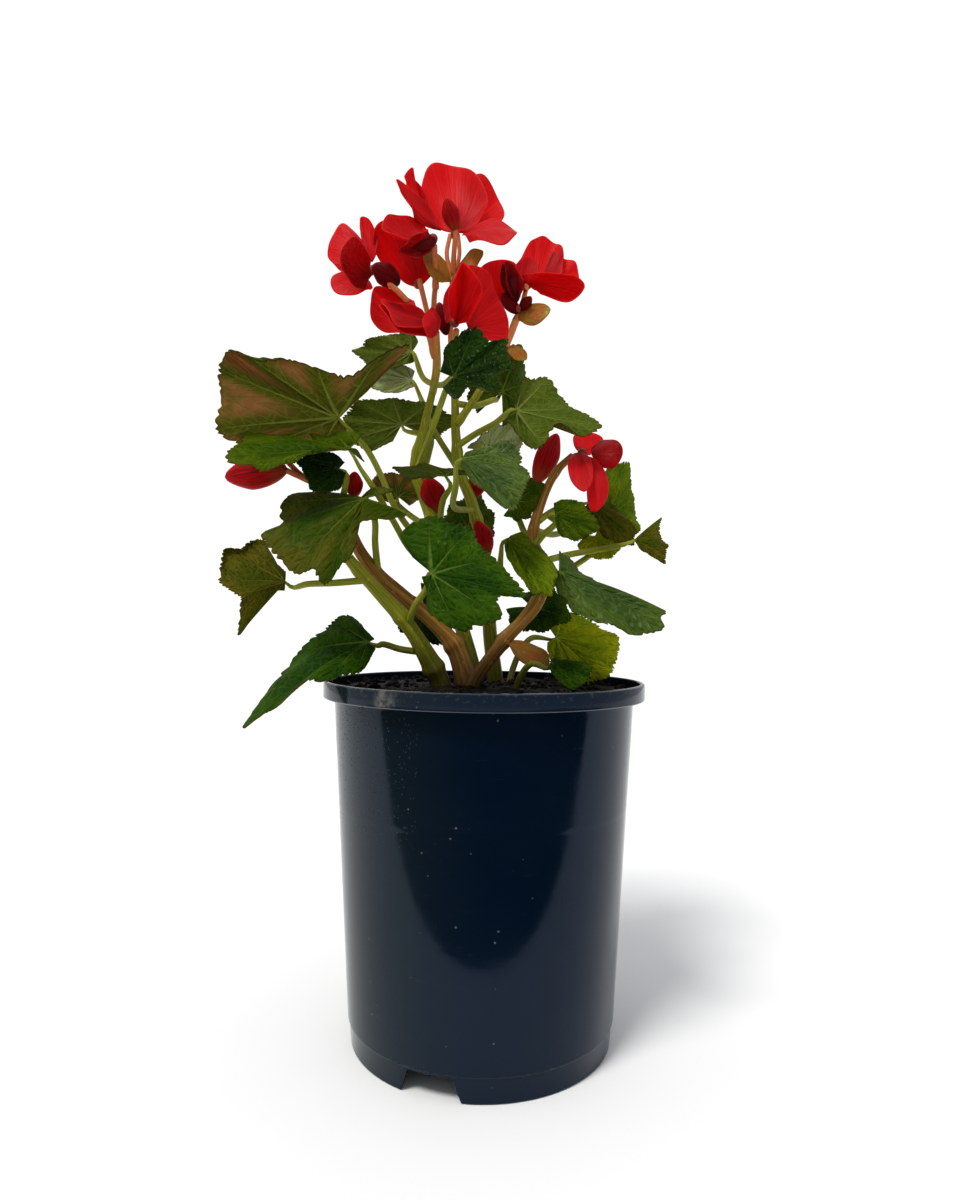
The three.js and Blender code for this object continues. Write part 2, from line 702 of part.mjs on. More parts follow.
const BUDS = {
  bud_top: { from: [-21, -9, 501], to: [-27, -18, 518], thick: 6 },
  bud_left: { from: [-123, -20, 346], to: [-159, -22, 341], thick: 9, face: [0, -0.6, 0.8] },
  bud_left_back: { from: [-124, -14, 352], to: [-147, -6, 370], thick: 8 },
  bud_left_inner: { from: [-82, -15, 330], to: [-81, -19, 346], thick: 6 },
  bud_centre: { from: [-30, 10, 325], to: [-38, 2, 347], thick: 9 },
  bud_centre_back: { from: [-10, 20, 336], to: [-3, 13, 352], thick: 7 },
  bud_right_back: { from: [34, 35, 349], to: [49, 40, 385], thick: 9 },
  bud_low_centre: { from: [3, 16, 300], to: [-6, 9, 320], thick: 7 },
};

// The pot: one turned wall, with three notches in its foot and drain holes in its floor
function pot() {
  const rim = POT_HEIGHT - RIM_HEIGHT;
  const inner = WALL_TOP_RADIUS - WALL;
  const floor = FOOT_HEIGHT + FLOOR;
  const profile = [
    [0, FOOT_HEIGHT],
    [FOOT_RADIUS + 1 - FOOT_WALL, FOOT_HEIGHT],
    [FOOT_RADIUS - FOOT_WALL, 0],
    [FOOT_RADIUS, 0],
    [FOOT_RADIUS + 1, FOOT_HEIGHT],
    [WALL_FOOT_RADIUS, FOOT_HEIGHT + 1],
    [WALL_TOP_RADIUS, rim],
    [RIM_RADIUS, rim],
    [RIM_RADIUS, POT_HEIGHT - 1],
    [RIM_RADIUS - 1, POT_HEIGHT],
    [RIM_RADIUS - RIM_LIP, POT_HEIGHT],
    [RIM_RADIUS - RIM_LIP, rim + WALL],
    [inner, rim + WALL],
    [WALL_FOOT_RADIUS - WALL, floor],
    [0, floor],
  ];
  const wall = lathe(profile);
  const cutters = [];
  for (let i = 0; i < NOTCHES.count; i += 1) {
    const turn = (NOTCHES.first + (i * 360) / NOTCHES.count) * DEG;
    cutters.push(solid(notch(turn)));
    cutters.push(solid(drain(turn)));
  }
  return cut(wall, cutters);
}

function lathe(profile) {
  const points = profile.map(([radius, z]) => new THREE.Vector2(radius, z));
  const turned = new THREE.LatheGeometry(points, POT_SIDES);
  turned.rotateX(Math.PI / 2);
  return solid(turned);
}

function notch(turn) {
  const deep = 24;
  const outline = new THREE.Shape([
    new THREE.Vector2(-NOTCHES.bottom / 2, -1),
    new THREE.Vector2(NOTCHES.bottom / 2, -1),
    new THREE.Vector2(NOTCHES.top / 2, NOTCHES.height),
    new THREE.Vector2(-NOTCHES.top / 2, NOTCHES.height),
  ]);
  const block = new THREE.ExtrudeGeometry(outline, { depth: deep, bevelEnabled: false });
  block.rotateX(Math.PI / 2);
  block.rotateZ(turn + Math.PI / 2);
  const reach = FOOT_RADIUS - deep / 2;
  block.translate(Math.cos(turn) * reach, Math.sin(turn) * reach, 0);
  return block;
}

function drain(turn) {
  const hole = new THREE.CylinderGeometry(DRAIN.radius, DRAIN.radius, 3 * FLOOR, DRAIN.sides);
  hole.rotateX(Math.PI / 2);
  const reach = DRAIN.from_axis;
  hole.translate(Math.cos(turn) * reach, Math.sin(turn) * reach, FOOT_HEIGHT + FLOOR / 2);
  return hole;
}

// The soil: it fills the pot, heaped towards the crown of the plant and lumpy on top
function soil(room) {
  const roll = dice(SOIL.seed);
  const bottom = FOOT_HEIGHT + FLOOR + GAP;
  const inner = WALL_TOP_RADIUS - WALL - GAP;
  const top = RIM_RADIUS - RIM_LIP - GAP;
  const profile = [
    [0, bottom],
    [WALL_FOOT_RADIUS - WALL - GAP - 0.2, bottom],
    [inner, POT_HEIGHT - RIM_HEIGHT + WALL - 1],
    [inner, SOIL.edge + GAP + 0.1],
    [top, SOIL.edge + GAP + 0.1],
    [top - 0.4, SOIL.edge + 1.4],
  ];
  for (let ring = SOIL.rings; ring > 0; ring -= 1) {
    const share = (ring - 0.5) / SOIL.rings;
    profile.push([top * share * 0.98, SOIL.edge + 1.5 + SOIL.crown * (1 - share * share)]);
  }
  profile.push([0, SOIL.edge + 1.5 + SOIL.crown]);
  const points = profile.map(([radius, z]) => new THREE.Vector2(radius, z));
  let heap = new THREE.LatheGeometry(points, POT_SIDES);
  heap.rotateX(Math.PI / 2);
  heap.deleteAttribute('normal');
  heap.deleteAttribute('uv');
  heap = mergeVertices(heap, 1e-3);
  const place = heap.attributes.position;
  for (let i = 0; i < place.count; i += 1) {
    const height = place.getZ(i);
    if (height > SOIL.edge + 1.45) place.setZ(i, height + roll() * SOIL.lump);
  }
  return cut(solid(heap), room);
}

// One stem with the shoots and bracts that are grown together with it
function stem({ main, shoots = [], bracts = [] }, grow = 0) {
  const pieces = [stalk(main, grow)];
  for (const shoot of shoots) pieces.push(stalk({ ...shoot, sides: 4 }, grow));
  for (const pose of bracts) {
    pieces.push(blade(BRACT, { lift: [0, 0], ...pose }, grow));
  }
  return join(pieces);
}

// A leaf: its blade and its stalk. The stalk leaves the underside of the blade.
const STALK_STEP = 24;
const STALK_RADII = [0.8, 1.9, 2, 2.1, 2.2];
function leaf(pose, grow = 0) {
  const face = vec(pose.face).normalize();
  const joint = vec(pose.at);
  const back = joint.clone().sub(vec(pose.tip)).normalize();
  const under = joint.clone().addScaledVector(face, -5).addScaledVector(back, 3);
  const through = [pose.at, under.toArray(), ...pose.stalk];
  return join([
    blade(pose.form ?? LEAF, pose, grow),
    stalk({ through, radii: STALK_RADII, sides: 5, step: STALK_STEP }, grow),
  ]);
}

// A flower: a round heart with petals that start inside it
const HEART_RADIUS = 4;
const PETAL_START = 0.7;
const PETAL_BOW = 30;
function bloom({ heart, petals }) {
  const middle = new THREE.SphereGeometry(HEART_RADIUS, 6, 4).translate(...heart);
  const pieces = [solid(middle)];
  for (const petal of petals) {
    const out = vec(petal.tip).sub(vec(heart)).setLength(HEART_RADIUS * PETAL_START);
    const at = out.add(vec(heart)).toArray();
    pieces.push(blade(PETAL, { bow: PETAL_BOW, ...petal, at }));
  }
  return join(pieces);
}

// A named mesh of one solid in its colour
function mesh(name, manifold, colour, roughness = 0.5) {
  const material = new THREE.MeshStandardMaterial({ color: colour, roughness, metalness: 0 });
  const piece = new THREE.Mesh(toGeometry(manifold), material);
  piece.name = name;
  return piece;
}

// What a stem carries is seated on it with a small gap, and the soil has a plain hole
// round each stem and each leaf stalk that stands in it
const ROOTED_LEAVES = ['leaf_low_right', 'leaf_soil_right'];
const plant = new THREE.Group();
const stemRoom = Object.values(STEMS).map((spec) => stem(spec, GAP));
const stalkRoom = ROOTED_LEAVES.map((name) => leaf(LEAVES[name], GAP));
function seat(name, piece, colour) {
  plant.add(mesh(name, cut(piece, stemRoom), colour));
}

for (const [name, spec] of Object.entries(STEMS)) plant.add(mesh(name, stem(spec), spec.colour));
for (const [name, pose] of Object.entries(LEAVES)) seat(name, leaf(pose), COLOURS.leaf);
for (const [name, spec] of Object.entries(BLOOMS)) seat(name, bloom(spec), COLOURS.petal);
for (const [name, spec] of Object.entries(BUDS)) seat(name, bud(spec), COLOURS.bud);
plant.add(mesh('soil', soil([...stemRoom, ...stalkRoom]), COLOURS.soil, 0.95));
plant.add(mesh('pot', pot(), COLOURS.pot, 0.25));

// The whole is centred over the point where it stands
const bounds = new THREE.Box3().setFromObject(plant);
const centre = bounds.getCenter(new THREE.Vector3());
plant.position.set(-centre.x, -centre.y, -bounds.min.z);
const begonia = new THREE.Group();
begonia.add(plant);

export default begonia;
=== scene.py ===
# %% [markdown]
# # A potted begonia
# The real plant is a begonia in the nursery pot it was raised in: fleshy stems that lean
# out of dark soil, lopsided leaves with toothed edges, flat dark buds, and red flowers of
# a few broad petals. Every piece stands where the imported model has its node, so the script
# starts from that frame and works in metres. Stems, leaf stalks and buds are laid out in
# millimetres from the pot's own axis, because that is how a plant is measured up. The
# margins of leaves and petals are marks on the photograph.

# %% Start from the frame
import math
import random

import bpy
import numpy as np
from mathutils import Matrix, Vector, noise


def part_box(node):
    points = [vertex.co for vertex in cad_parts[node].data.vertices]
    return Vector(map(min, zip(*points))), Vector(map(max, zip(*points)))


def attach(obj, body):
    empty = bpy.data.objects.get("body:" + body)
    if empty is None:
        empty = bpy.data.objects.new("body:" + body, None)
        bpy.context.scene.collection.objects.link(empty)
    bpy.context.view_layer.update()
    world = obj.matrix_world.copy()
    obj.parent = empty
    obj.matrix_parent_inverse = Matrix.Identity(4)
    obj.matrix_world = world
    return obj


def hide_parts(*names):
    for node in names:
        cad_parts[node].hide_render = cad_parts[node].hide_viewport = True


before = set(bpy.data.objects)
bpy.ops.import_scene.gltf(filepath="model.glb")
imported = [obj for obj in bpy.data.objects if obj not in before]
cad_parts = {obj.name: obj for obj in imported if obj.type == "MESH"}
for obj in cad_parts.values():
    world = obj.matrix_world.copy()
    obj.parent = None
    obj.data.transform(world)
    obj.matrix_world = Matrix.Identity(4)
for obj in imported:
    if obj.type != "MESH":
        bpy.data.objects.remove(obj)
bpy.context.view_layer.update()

MM = 0.001
pot_low, pot_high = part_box("pot")
POT_AXIS = Vector(((pot_low[0] + pot_high[0]) / 2, (pot_low[1] + pot_high[1]) / 2, 0))
print("pot axis at", [round(value, 4) for value in POT_AXIS])


def to_metres(points):
    """Millimetres from the pot's axis become metres in the frame."""
    return np.asarray(points, dtype=float) * MM + np.array(POT_AXIS)


# %% [markdown]
# ## The camera
# The photograph was taken close to the plant with a wide view, a little above the rim of
# the pot and tilted up very slightly. Its place was found by matching the ellipse of the
# rim, the width of the foot and the height of the pot. A camera could be aimed with a
# constraint, but a matrix holds the small roll as well and needs no target.

# %% Camera at the photograph's angle
CAMERA_PLACE = np.array((-3.1, -508.6, 254.0))
PHOTO_WIDTH = 960
PHOTO_HEIGHT = 1200
FOCAL_PIXELS = 800
TILT_UP = 0.028
ROLL = 0.011
SENSOR = 36

camera_data = bpy.data.cameras.new("camera")
camera = bpy.data.objects.new("camera", camera_data)
bpy.context.scene.collection.objects.link(camera)
camera_data.sensor_fit = "VERTICAL"
camera_data.sensor_height = SENSOR
camera_data.lens = SENSOR * FOCAL_PIXELS / PHOTO_HEIGHT
camera_data.clip_start = 0.01

right = np.array((1.0, 0, 0))
forward = np.array((0, math.cos(TILT_UP), math.sin(TILT_UP)))
upward = np.array((0, -math.sin(TILT_UP), math.cos(TILT_UP)))
rolled_right = right * math.cos(ROLL) + upward * math.sin(ROLL)
rolled_up = upward * math.cos(ROLL) - right * math.sin(ROLL)
turn = Matrix((rolled_right, rolled_up, -forward)).transposed().to_4x4()
camera.matrix_world = Matrix.Translation(Vector(to_metres(CAMERA_PLACE))) @ turn
bpy.context.scene.camera = camera
print("lens", round(camera_data.lens, 2), "mm")

# %% [markdown]
# ## Marks on the photograph
# Old leaves and open petals bend every way, so their margins were read off the photograph.
# A mark is three numbers: the pixel across, the pixel down, and how many millimetres behind
# the pot's axis that spot was judged to lie. The ray from the camera through the pixel,
# followed to that depth, gives the place. It is rounded to the nearest millimetre, because
# a mark can't be read more finely than that.

# %% From a mark to its place
def place_of(mark):
    """The place, in millimetres from the pot's axis, of a mark on the photograph."""
    across, down, back = mark
    ray = (forward + rolled_right * (across - PHOTO_WIDTH / 2) / FOCAL_PIXELS
           + rolled_up * (PHOTO_HEIGHT / 2 - down) / FOCAL_PIXELS)
    return np.rint(CAMERA_PLACE + ray * (back - CAMERA_PLACE[1]) / ray[1])


# %% [markdown]
# ## Shader helpers
# Every finish here is a small tree of nodes on one Principled shader. Wiring them by hand
# in the shader editor is quick, but in a script each link is a line, so a few short
# helpers keep the recipes readable: they add a node, do a sum, blend two colours, make a
# mask or a bump, and fill in the shader's sockets.

# %% Helpers that wire a material
def put(tree, socket, value):
    """Links a socket to another node, or sets its value."""
    if isinstance(value, bpy.types.NodeSocket):
        tree.links.new(value, socket)
    else:
        socket.default_value = value


def add(tree, kind, inputs=None, **settings):
    """Adds a node, with its settings and its inputs by name."""
    made = tree.nodes.new(kind)
    for key, value in settings.items():
        setattr(made, key, value)
    for key, value in (inputs or {}).items():
        put(tree, made.inputs[key], value)
    return made


def sum_of(tree, operation, first, second=0.5, third=0.5):
    """The result of one Math node."""
    made = add(tree, "ShaderNodeMath", operation=operation)
    for socket, value in zip(made.inputs, (first, second, third)):
        put(tree, socket, value)
    return made.outputs[0]


def times(tree, *factors):
    """The product of two or more values."""
    product = factors[0]
    for factor in factors[1:]:
        product = sum_of(tree, "MULTIPLY", product, factor)
    return product


def rest_of(tree, share):
    """One minus a share."""
    return sum_of(tree, "SUBTRACT", 1.0, share)


def blend(tree, share, first, second):
    """A colour between two others."""
    made = add(tree, "ShaderNodeMix", data_type="RGBA", clamp_factor=True)
    for index, value in ((0, share), (6, first), (7, second)):
        put(tree, made.inputs[index], value)
    return made.outputs[2]


def between(tree, value, low, high, first=0.0, second=1.0):
    """Eases from first to second as a value goes from low to high."""
    made = add(tree, "ShaderNodeMapRange", interpolation_type="SMOOTHSTEP")
    for index, entry in enumerate((value, low, high, first, second)):
        put(tree, made.inputs[index], entry)
    return made.outputs[0]


def clouds(tree, vector, scale, detail=3.0, roughness=0.5):
    """The value of a Noise Texture."""
    inputs = {"Vector": vector, "Scale": scale, "Detail": detail, "Roughness": roughness}
    return add(tree, "ShaderNodeTexNoise", inputs).outputs[0]


def cells(tree, vector, scale, feature="F1"):
    """The distance that a Voronoi Texture gives, from the middle or the edge of its cells."""
    inputs = {"Vector": vector, "Scale": scale}
    return add(tree, "ShaderNodeTexVoronoi", inputs, feature=feature).outputs["Distance"]


def drawn_out(tree, vector, scale, turned=(0.0, 0.0, 0.0)):
    """A vector scaled along each axis, which draws a pattern out into lines."""
    inputs = {"Vector": vector, "Scale": scale, "Rotation": turned}
    return add(tree, "ShaderNodeMapping", inputs).outputs[0]


def axis_of(tree, vector, axis):
    """One of the three values of a vector."""
    return add(tree, "ShaderNodeSeparateXYZ", {"Vector": vector}).outputs[axis]


def relief(tree, height, distance, strength=1.0, normal=None):
    """A bump of so many metres."""
    inputs = {"Height": height, "Distance": distance, "Strength": strength}
    if normal is not None:
        inputs["Normal"] = normal
    return add(tree, "ShaderNodeBump", inputs).outputs[0]


def fill_in(tree, shader, inputs):
    """Sets or links the shader's sockets by name."""
    for key, value in inputs.items():
        put(tree, shader.inputs[key], value)


def new_material(name):
    """A material, its tree of nodes and its Principled shader."""
    material = bpy.data.materials.new(name)
    material.use_nodes = True
    tree = material.node_tree
    return material, tree, tree.nodes["Principled BSDF"]


def colour(red, green, blue):
    """An opaque colour."""
    return (red, green, blue, 1.0)


def attribute(tree, name):
    """A value that each point of the mesh carries."""
    return add(tree, "ShaderNodeAttribute", attribute_name=name).outputs["Fac"]


def own_place(tree):
    """The place on the object, in metres."""
    return add(tree, "ShaderNodeTexCoord").outputs["Object"]


def own_map(tree):
    """The place on the map of the flat sheet."""
    return add(tree, "ShaderNodeTexCoord").outputs["UV"]


# %% [markdown]
# ## Leaf finishes
# The upper side of a leaf is dark and wet-looking. Each main vein lies in a groove, side
# veins leave it like the barbs of a feather, and the skin between them swells into small
# pillows. The underside is paler and dull, and there the veins stand out. The pattern
# has to follow the leaf however it bends, so it reads three values that each blade
# carries: `vein`, the distance from the nearest main vein, `run`, the distance along that
# vein, and `edge`, the share of the way to the margin.

# %% Leaf materials
SIDE_VEINS = 7.5
SIDE_VEIN_LEAN = 1.25
VEIN_AT_JOINT, VEIN_AT_MARGIN = 0.028, 0.006
NET_SCALE = 24
PILLOW_HEIGHT = 0.0012
UNDER_RELIEF = 0.0010
LEAF_LIGHT_DEPTH = 0.0012
UPPER_RUST = (0.10, 0.045, 0.012)
UNDER_RUST = (0.13, 0.06, 0.02)


def vein_lines(tree):
    """Masks of the main veins, the side veins and the fine net between them."""
    vein = attribute(tree, "vein")
    run = attribute(tree, "run")
    edge = attribute(tree, "edge")
    width = between(tree, edge, 0.0, 1.0, VEIN_AT_JOINT, VEIN_AT_MARGIN)
    main = rest_of(tree, between(tree, sum_of(tree, "DIVIDE", vein, width), 0.3, 1.0))
    wander = times(tree, clouds(tree, own_map(tree), 9.0), 0.1)
    along = sum_of(tree, "SUBTRACT", run, times(tree, vein, SIDE_VEIN_LEAN))
    phase = sum_of(tree, "FRACT", times(tree, sum_of(tree, "ADD", along, wander), SIDE_VEINS))
    apart = sum_of(tree, "ABSOLUTE", sum_of(tree, "SUBTRACT", phase, 0.5))
    side = rest_of(tree, between(tree, apart, 0.02, 0.09))
    side = times(tree, side, between(tree, run, 0.08, 0.2))
    from_edge = cells(tree, own_map(tree), NET_SCALE, "DISTANCE_TO_EDGE")
    net = rest_of(tree, between(tree, from_edge, 0.0, 0.12))
    pillow = between(tree, from_edge, 0.0, 0.45)
    return main, side, net, pillow, apart, edge


def upper_side(name, deep, fresh, vein_tint, gloss, shine):
    """The glossy upper side of a leaf."""
    material, tree, shader = new_material(name)
    main, side, net, pillow, apart, edge = vein_lines(tree)
    patches = between(tree, clouds(tree, own_map(tree), 5.0, 4.0), 0.35, 0.68)
    base = blend(tree, patches, colour(*deep), colour(*fresh))
    specks = between(tree, clouds(tree, own_map(tree), 70.0, 2.0), 0.5, 0.75, 0.0, 0.35)
    base = blend(tree, specks, base, colour(*(value * 0.6 for value in deep)))
    base = blend(tree, times(tree, net, 0.10), base, colour(*vein_tint))
    base = blend(tree, times(tree, side, 0.16), base, colour(*vein_tint))
    fading = times(tree, main, between(tree, edge, 0.1, 0.9, 0.7, 0.15))
    base = blend(tree, fading, base, colour(*vein_tint))
    rust = times(tree, between(tree, edge, 0.975, 1.0), 0.6)
    base = blend(tree, rust, base, colour(*UPPER_RUST))
    swell = times(tree, pillow, between(tree, apart, 0.0, 0.4, 0.4, 1.0))
    height = sum_of(tree, "SUBTRACT", swell, times(tree, side, 0.5))
    height = sum_of(tree, "SUBTRACT", height, times(tree, main, 0.9))
    bumped = relief(tree, height, PILLOW_HEIGHT, 0.75)
    grain = clouds(tree, own_map(tree), 260.0, 2.0)
    fill_in(tree, shader, {
        "Base Color": base,
        "Roughness": between(tree, clouds(tree, own_map(tree), 11.0), 0.3, 0.7, gloss, gloss + 0.22),
        "Normal": relief(tree, grain, 0.00006, 0.4, bumped),
        "Specular IOR Level": shine,
        "Subsurface Weight": 0.12,
        "Subsurface Radius": (0.4, 1.0, 0.15),
        "Subsurface Scale": LEAF_LIGHT_DEPTH,
    })
    return material


def under_side(name, pale, blush, vein_tint):
    """The dull underside of a leaf, where the veins stand proud."""
    material, tree, shader = new_material(name)
    main, side, net, pillow, _, edge = vein_lines(tree)
    near_vein = rest_of(tree, between(tree, attribute(tree, "vein"), 0.02, 0.2))
    near_joint = rest_of(tree, between(tree, edge, 0.25, 0.85))
    patches = between(tree, clouds(tree, own_map(tree), 4.5, 4.0), 0.42, 0.68)
    patches = sum_of(tree, "MAXIMUM", patches, sum_of(tree, "MAXIMUM", near_vein, near_joint))
    base = blend(tree, patches, colour(*pale), colour(*blush))
    for mask, share in ((net, 0.25), (side, 0.5), (main, 0.85)):
        base = blend(tree, times(tree, mask, share), base, colour(*vein_tint))
    rust = times(tree, between(tree, edge, 0.97, 1.0), 0.7)
    height = sum_of(tree, "ADD", times(tree, side, 0.6), main)
    height = sum_of(tree, "SUBTRACT", height, times(tree, pillow, 0.5))
    fill_in(tree, shader, {
        "Base Color": blend(tree, rust, base, colour(*UNDER_RUST)),
        "Roughness": 0.55,
        "Normal": relief(tree, height, UNDER_RELIEF, 0.8),
        "Specular IOR Level": 0.05,
        "Subsurface Weight": 0.15,
        "Subsurface Radius": (0.5, 1.0, 0.2),
        "Subsurface Scale": LEAF_LIGHT_DEPTH,
    })
    return material


# Each upper side has a deep tone, a fresh tone, the tone of its veins, a roughness and a shine
UPPER_SIDES = {
    "dark": ((0.012, 0.047, 0.001), (0.040, 0.092, 0.002), (0.13, 0.20, 0.035), 0.28, 0.05),
    "fresh": ((0.034, 0.072, 0.001), (0.085, 0.122, 0.002), (0.16, 0.22, 0.02), 0.36, 0.05),
    "olive": ((0.060, 0.075, 0.002), (0.120, 0.105, 0.008), (0.20, 0.19, 0.03), 0.40, 0.05),
    "roof": ((0.030, 0.066, 0.001), (0.090, 0.088, 0.008), (0.13, 0.16, 0.02), 0.36, 0.05),
    # Painted light: a much lighter copy of the green, for leaves that lie behind or under others
    "painted_glow": ((0.220, 0.290, 0.003), (0.370, 0.390, 0.006), (0.48, 0.50, 0.04), 0.45, 0.05),
    # Painted light: a lighter copy of the fresh green
    "lit": ((0.070, 0.120, 0.001), (0.135, 0.185, 0.003), (0.24, 0.30, 0.03), 0.40, 0.05),
    "sheen": ((0.032, 0.072, 0.003), (0.078, 0.125, 0.008), (0.12, 0.19, 0.03), 0.42, 0.3),
    "night": ((0.006, 0.024, 0.0008), (0.016, 0.050, 0.001), (0.07, 0.12, 0.02), 0.2, 0.12),
}
UPPER = {name: upper_side("leaf_upper_" + name, *tones) for name, tones in UPPER_SIDES.items()}

# Each underside has the tone between its veins, the tone near them, and that of the veins
UNDER_SIDES = {
    # Partly painted light: a pale underside, made paler still for leaves that lie behind others
    "pale": ((0.40, 0.45, 0.24), (0.26, 0.31, 0.10), (0.50, 0.55, 0.30)),
    "green": ((0.060, 0.095, 0.004), (0.085, 0.120, 0.010), (0.20, 0.24, 0.06)),
    "blush": ((0.42, 0.165, 0.070), (0.095, 0.110, 0.008), (0.26, 0.29, 0.05)),
    "grey": ((0.22, 0.215, 0.14), (0.14, 0.13, 0.06), (0.30, 0.29, 0.18)),
}
UNDER = {name: under_side("leaf_under_" + name, *tones) for name, tones in UNDER_SIDES.items()}
print("leaf finishes:", len(UPPER), "upper and", len(UNDER), "under")

# %% [markdown]
# ## Stem finishes
# A begonia's stem is fleshy and a little glossy. It is streaked along its length, paler
# where it is young and brown where it is old, and freckled with short pale dashes. A tube
# carries a map with one side round it and the other along it, so streaks can run its way.

# %% Stem materials
# Heights and depths here are in metres
SOIL_AND_SHADE_LOW, SOIL_AND_SHADE_HIGH = 0.205, 0.262
TURN_LOW, TURN_HIGH = 0.395, 0.440
STREAK_DEPTH = 0.0006
FLECK_DEPTH = 0.0003
SOIL_AND_SHADE = (0.035, 0.020, 0.008)


def fleshy(name, young, old, high=None):
    """Fleshy skin, streaked along the stem, that may turn towards a third colour high up."""
    material, tree, shader = new_material(name)
    lengthwise = drawn_out(tree, own_map(tree), (9.0, 1.3, 1.0))
    streaks = between(tree, clouds(tree, lengthwise, 2.2, 5.0, 0.6), 0.36, 0.66)
    base = blend(tree, streaks, colour(*young), colour(*old))
    height = axis_of(tree, own_place(tree), "Z")
    if high is not None:
        base = blend(tree, between(tree, height, TURN_LOW, TURN_HIGH), base, colour(*high))
    upright = drawn_out(tree, own_place(tree), (700.0, 700.0, 260.0))
    flecks = between(tree, clouds(tree, upright, 1.0, 1.0), 0.66, 0.74, 0.0, 0.5)
    base = blend(tree, flecks, base, colour(*(min(1.0, value * 1.7 + 0.02) for value in young)))
    # Darker towards the soil: partly real soil on the stems, partly painted shade under the leaves
    soil_and_shade = between(tree, height, SOIL_AND_SHADE_LOW, SOIL_AND_SHADE_HIGH, 0.8, 0.0)
    ridges = relief(tree, streaks, STREAK_DEPTH, 0.5)
    fill_in(tree, shader, {
        "Base Color": blend(tree, soil_and_shade, base, colour(*SOIL_AND_SHADE)),
        "Roughness": 0.4,
        "Normal": relief(tree, flecks, FLECK_DEPTH, 0.5, ridges),
        "Specular IOR Level": 0.2,
        "Subsurface Weight": 0.2,
        "Subsurface Radius": (1.0, 0.7, 0.25),
        "Subsurface Scale": 0.003,
    })
    return material


FLOWER_STALK = (0.68, 0.23, 0.09)
SKIN = {
    "green": fleshy("stem_green", (0.34, 0.34, 0.03), (0.19, 0.20, 0.012), FLOWER_STALK),
    "tan": fleshy("stem_tan", (0.46, 0.26, 0.060), (0.20, 0.085, 0.016)),
    "stalk": fleshy("flower_stalk", (0.60, 0.22, 0.08), (0.42, 0.09, 0.04)),
    "leaf": fleshy("leaf_stalk", (0.34, 0.37, 0.045), (0.23, 0.24, 0.020)),
    "bract": fleshy("bract", (0.30, 0.22, 0.025), (0.42, 0.10, 0.025)),
}

# %% [markdown]
# ## Petal and bud finishes
# The petals are a strong clear red, with fine darker veins that fan out from the heart, and
# a soft sheen. Towards their tips they are painted a lighter orange-pink, for the light that
# comes through them, and at their foot they are painted darker, as shade where they crowd at
# the heart. Petals that lie deep in a cup, and the closed petals, take a darker red that is
# painted shade. The buds are the backs of such petals, so they are dark red, with a brownish
# foot.

# %% Petal and bud materials
PETAL_RELIEF = 0.0005


def red_petal(name, lit, shade, foot_tone, gloss):
    """A petal whose veins fan out from the heart of the flower."""
    material, tree, shader = new_material(name)
    along = axis_of(tree, own_map(tree), "Y")
    veins = drawn_out(tree, own_map(tree), (46.0, 1.6, 1.0))
    lines = between(tree, clouds(tree, veins, 1.0, 3.0, 0.6), 0.34, 0.7)
    base = blend(tree, lines, colour(*lit), colour(*shade))
    # Painted shade on petals: darker towards the foot, where they crowd at the heart; on buds the foot
    # tone is their own brownish tint
    foot = between(tree, along, 0.03, 0.4, 0.65, 0.0)
    base = blend(tree, foot, base, colour(*foot_tone))
    # Painted light: the tips turn a lighter orange-pink, for the light that comes through the petal
    painted_light_tips = between(tree, along, 0.75, 1.0, 0.0, 0.35)
    fill_in(tree, shader, {
        "Base Color": blend(tree, painted_light_tips, base, colour(lit[0] * 1.1, lit[1] * 1.8, lit[2] * 1.5)),
        "Roughness": gloss,
        "Normal": relief(tree, lines, PETAL_RELIEF, 0.45),
        "Specular IOR Level": 0.1,
        "Subsurface Weight": 0.5,
        "Subsurface Radius": (1.0, 0.10, 0.07),
        "Subsurface Scale": 0.010,
    })
    return material


RED = red_petal("petal_red", (0.53, 0.010, 0.012), (0.38, 0.004, 0.008),
                (0.152, 0.0016, 0.0032), 0.42)
# A darker copy of the petal red: painted shade, for petals deep in a cup and the closed petals
SHADED_RED = red_petal("petal_painted_shade", (0.19, 0.003, 0.006), (0.060, 0.002, 0.003),
                     (0.024, 0.0008, 0.0012), 0.30)
BUD_RED = red_petal("bud_red", (0.42, 0.008, 0.010), (0.18, 0.003, 0.005),
                    (0.30, 0.085, 0.025), 0.34)


def heart_material():
    """The swollen foot of the flower, reddish green."""
    material, tree, shader = new_material("flower_heart")
    patches = between(tree, clouds(tree, own_place(tree), 260.0), 0.4, 0.65)
    fill_in(tree, shader, {
        "Base Color": blend(tree, patches, colour(0.30, 0.02, 0.012), colour(0.20, 0.05, 0.015)),
        "Roughness": 0.4,
        "Normal": relief(tree, patches, 0.0004, 0.5),
    })
    return material


HEART = heart_material()

# %% [markdown]
# ## One helper for grown shapes
# Leaves, petals, stems and buds are all a sheet that has been fanned, rolled or folded. So
# each starts as a grid primitive, and every point of it is moved by a rule of its two
# shares: how far it is across the grid, and how far along. Points that fall together, at
# the joint of a leaf or the seam of a tube, are merged. The grid brings its own map with
# it, so patterns follow the shape for nothing.

# %% Grid helper
MERGE = 2e-6


def deselect():
    """Deselects every object."""
    bpy.ops.object.select_all(action="DESELECT")


def make_active(piece):
    """Selects one object alone, so that operators act on it."""
    deselect()
    piece.select_set(True)
    bpy.context.view_layer.objects.active = piece


def in_edit_mode(operator, **settings):
    """Runs one mesh operator on the whole of the active object."""
    bpy.ops.object.mode_set(mode="EDIT")
    bpy.ops.mesh.select_all(action="SELECT")
    operator(**settings)
    bpy.ops.object.mode_set(mode="OBJECT")


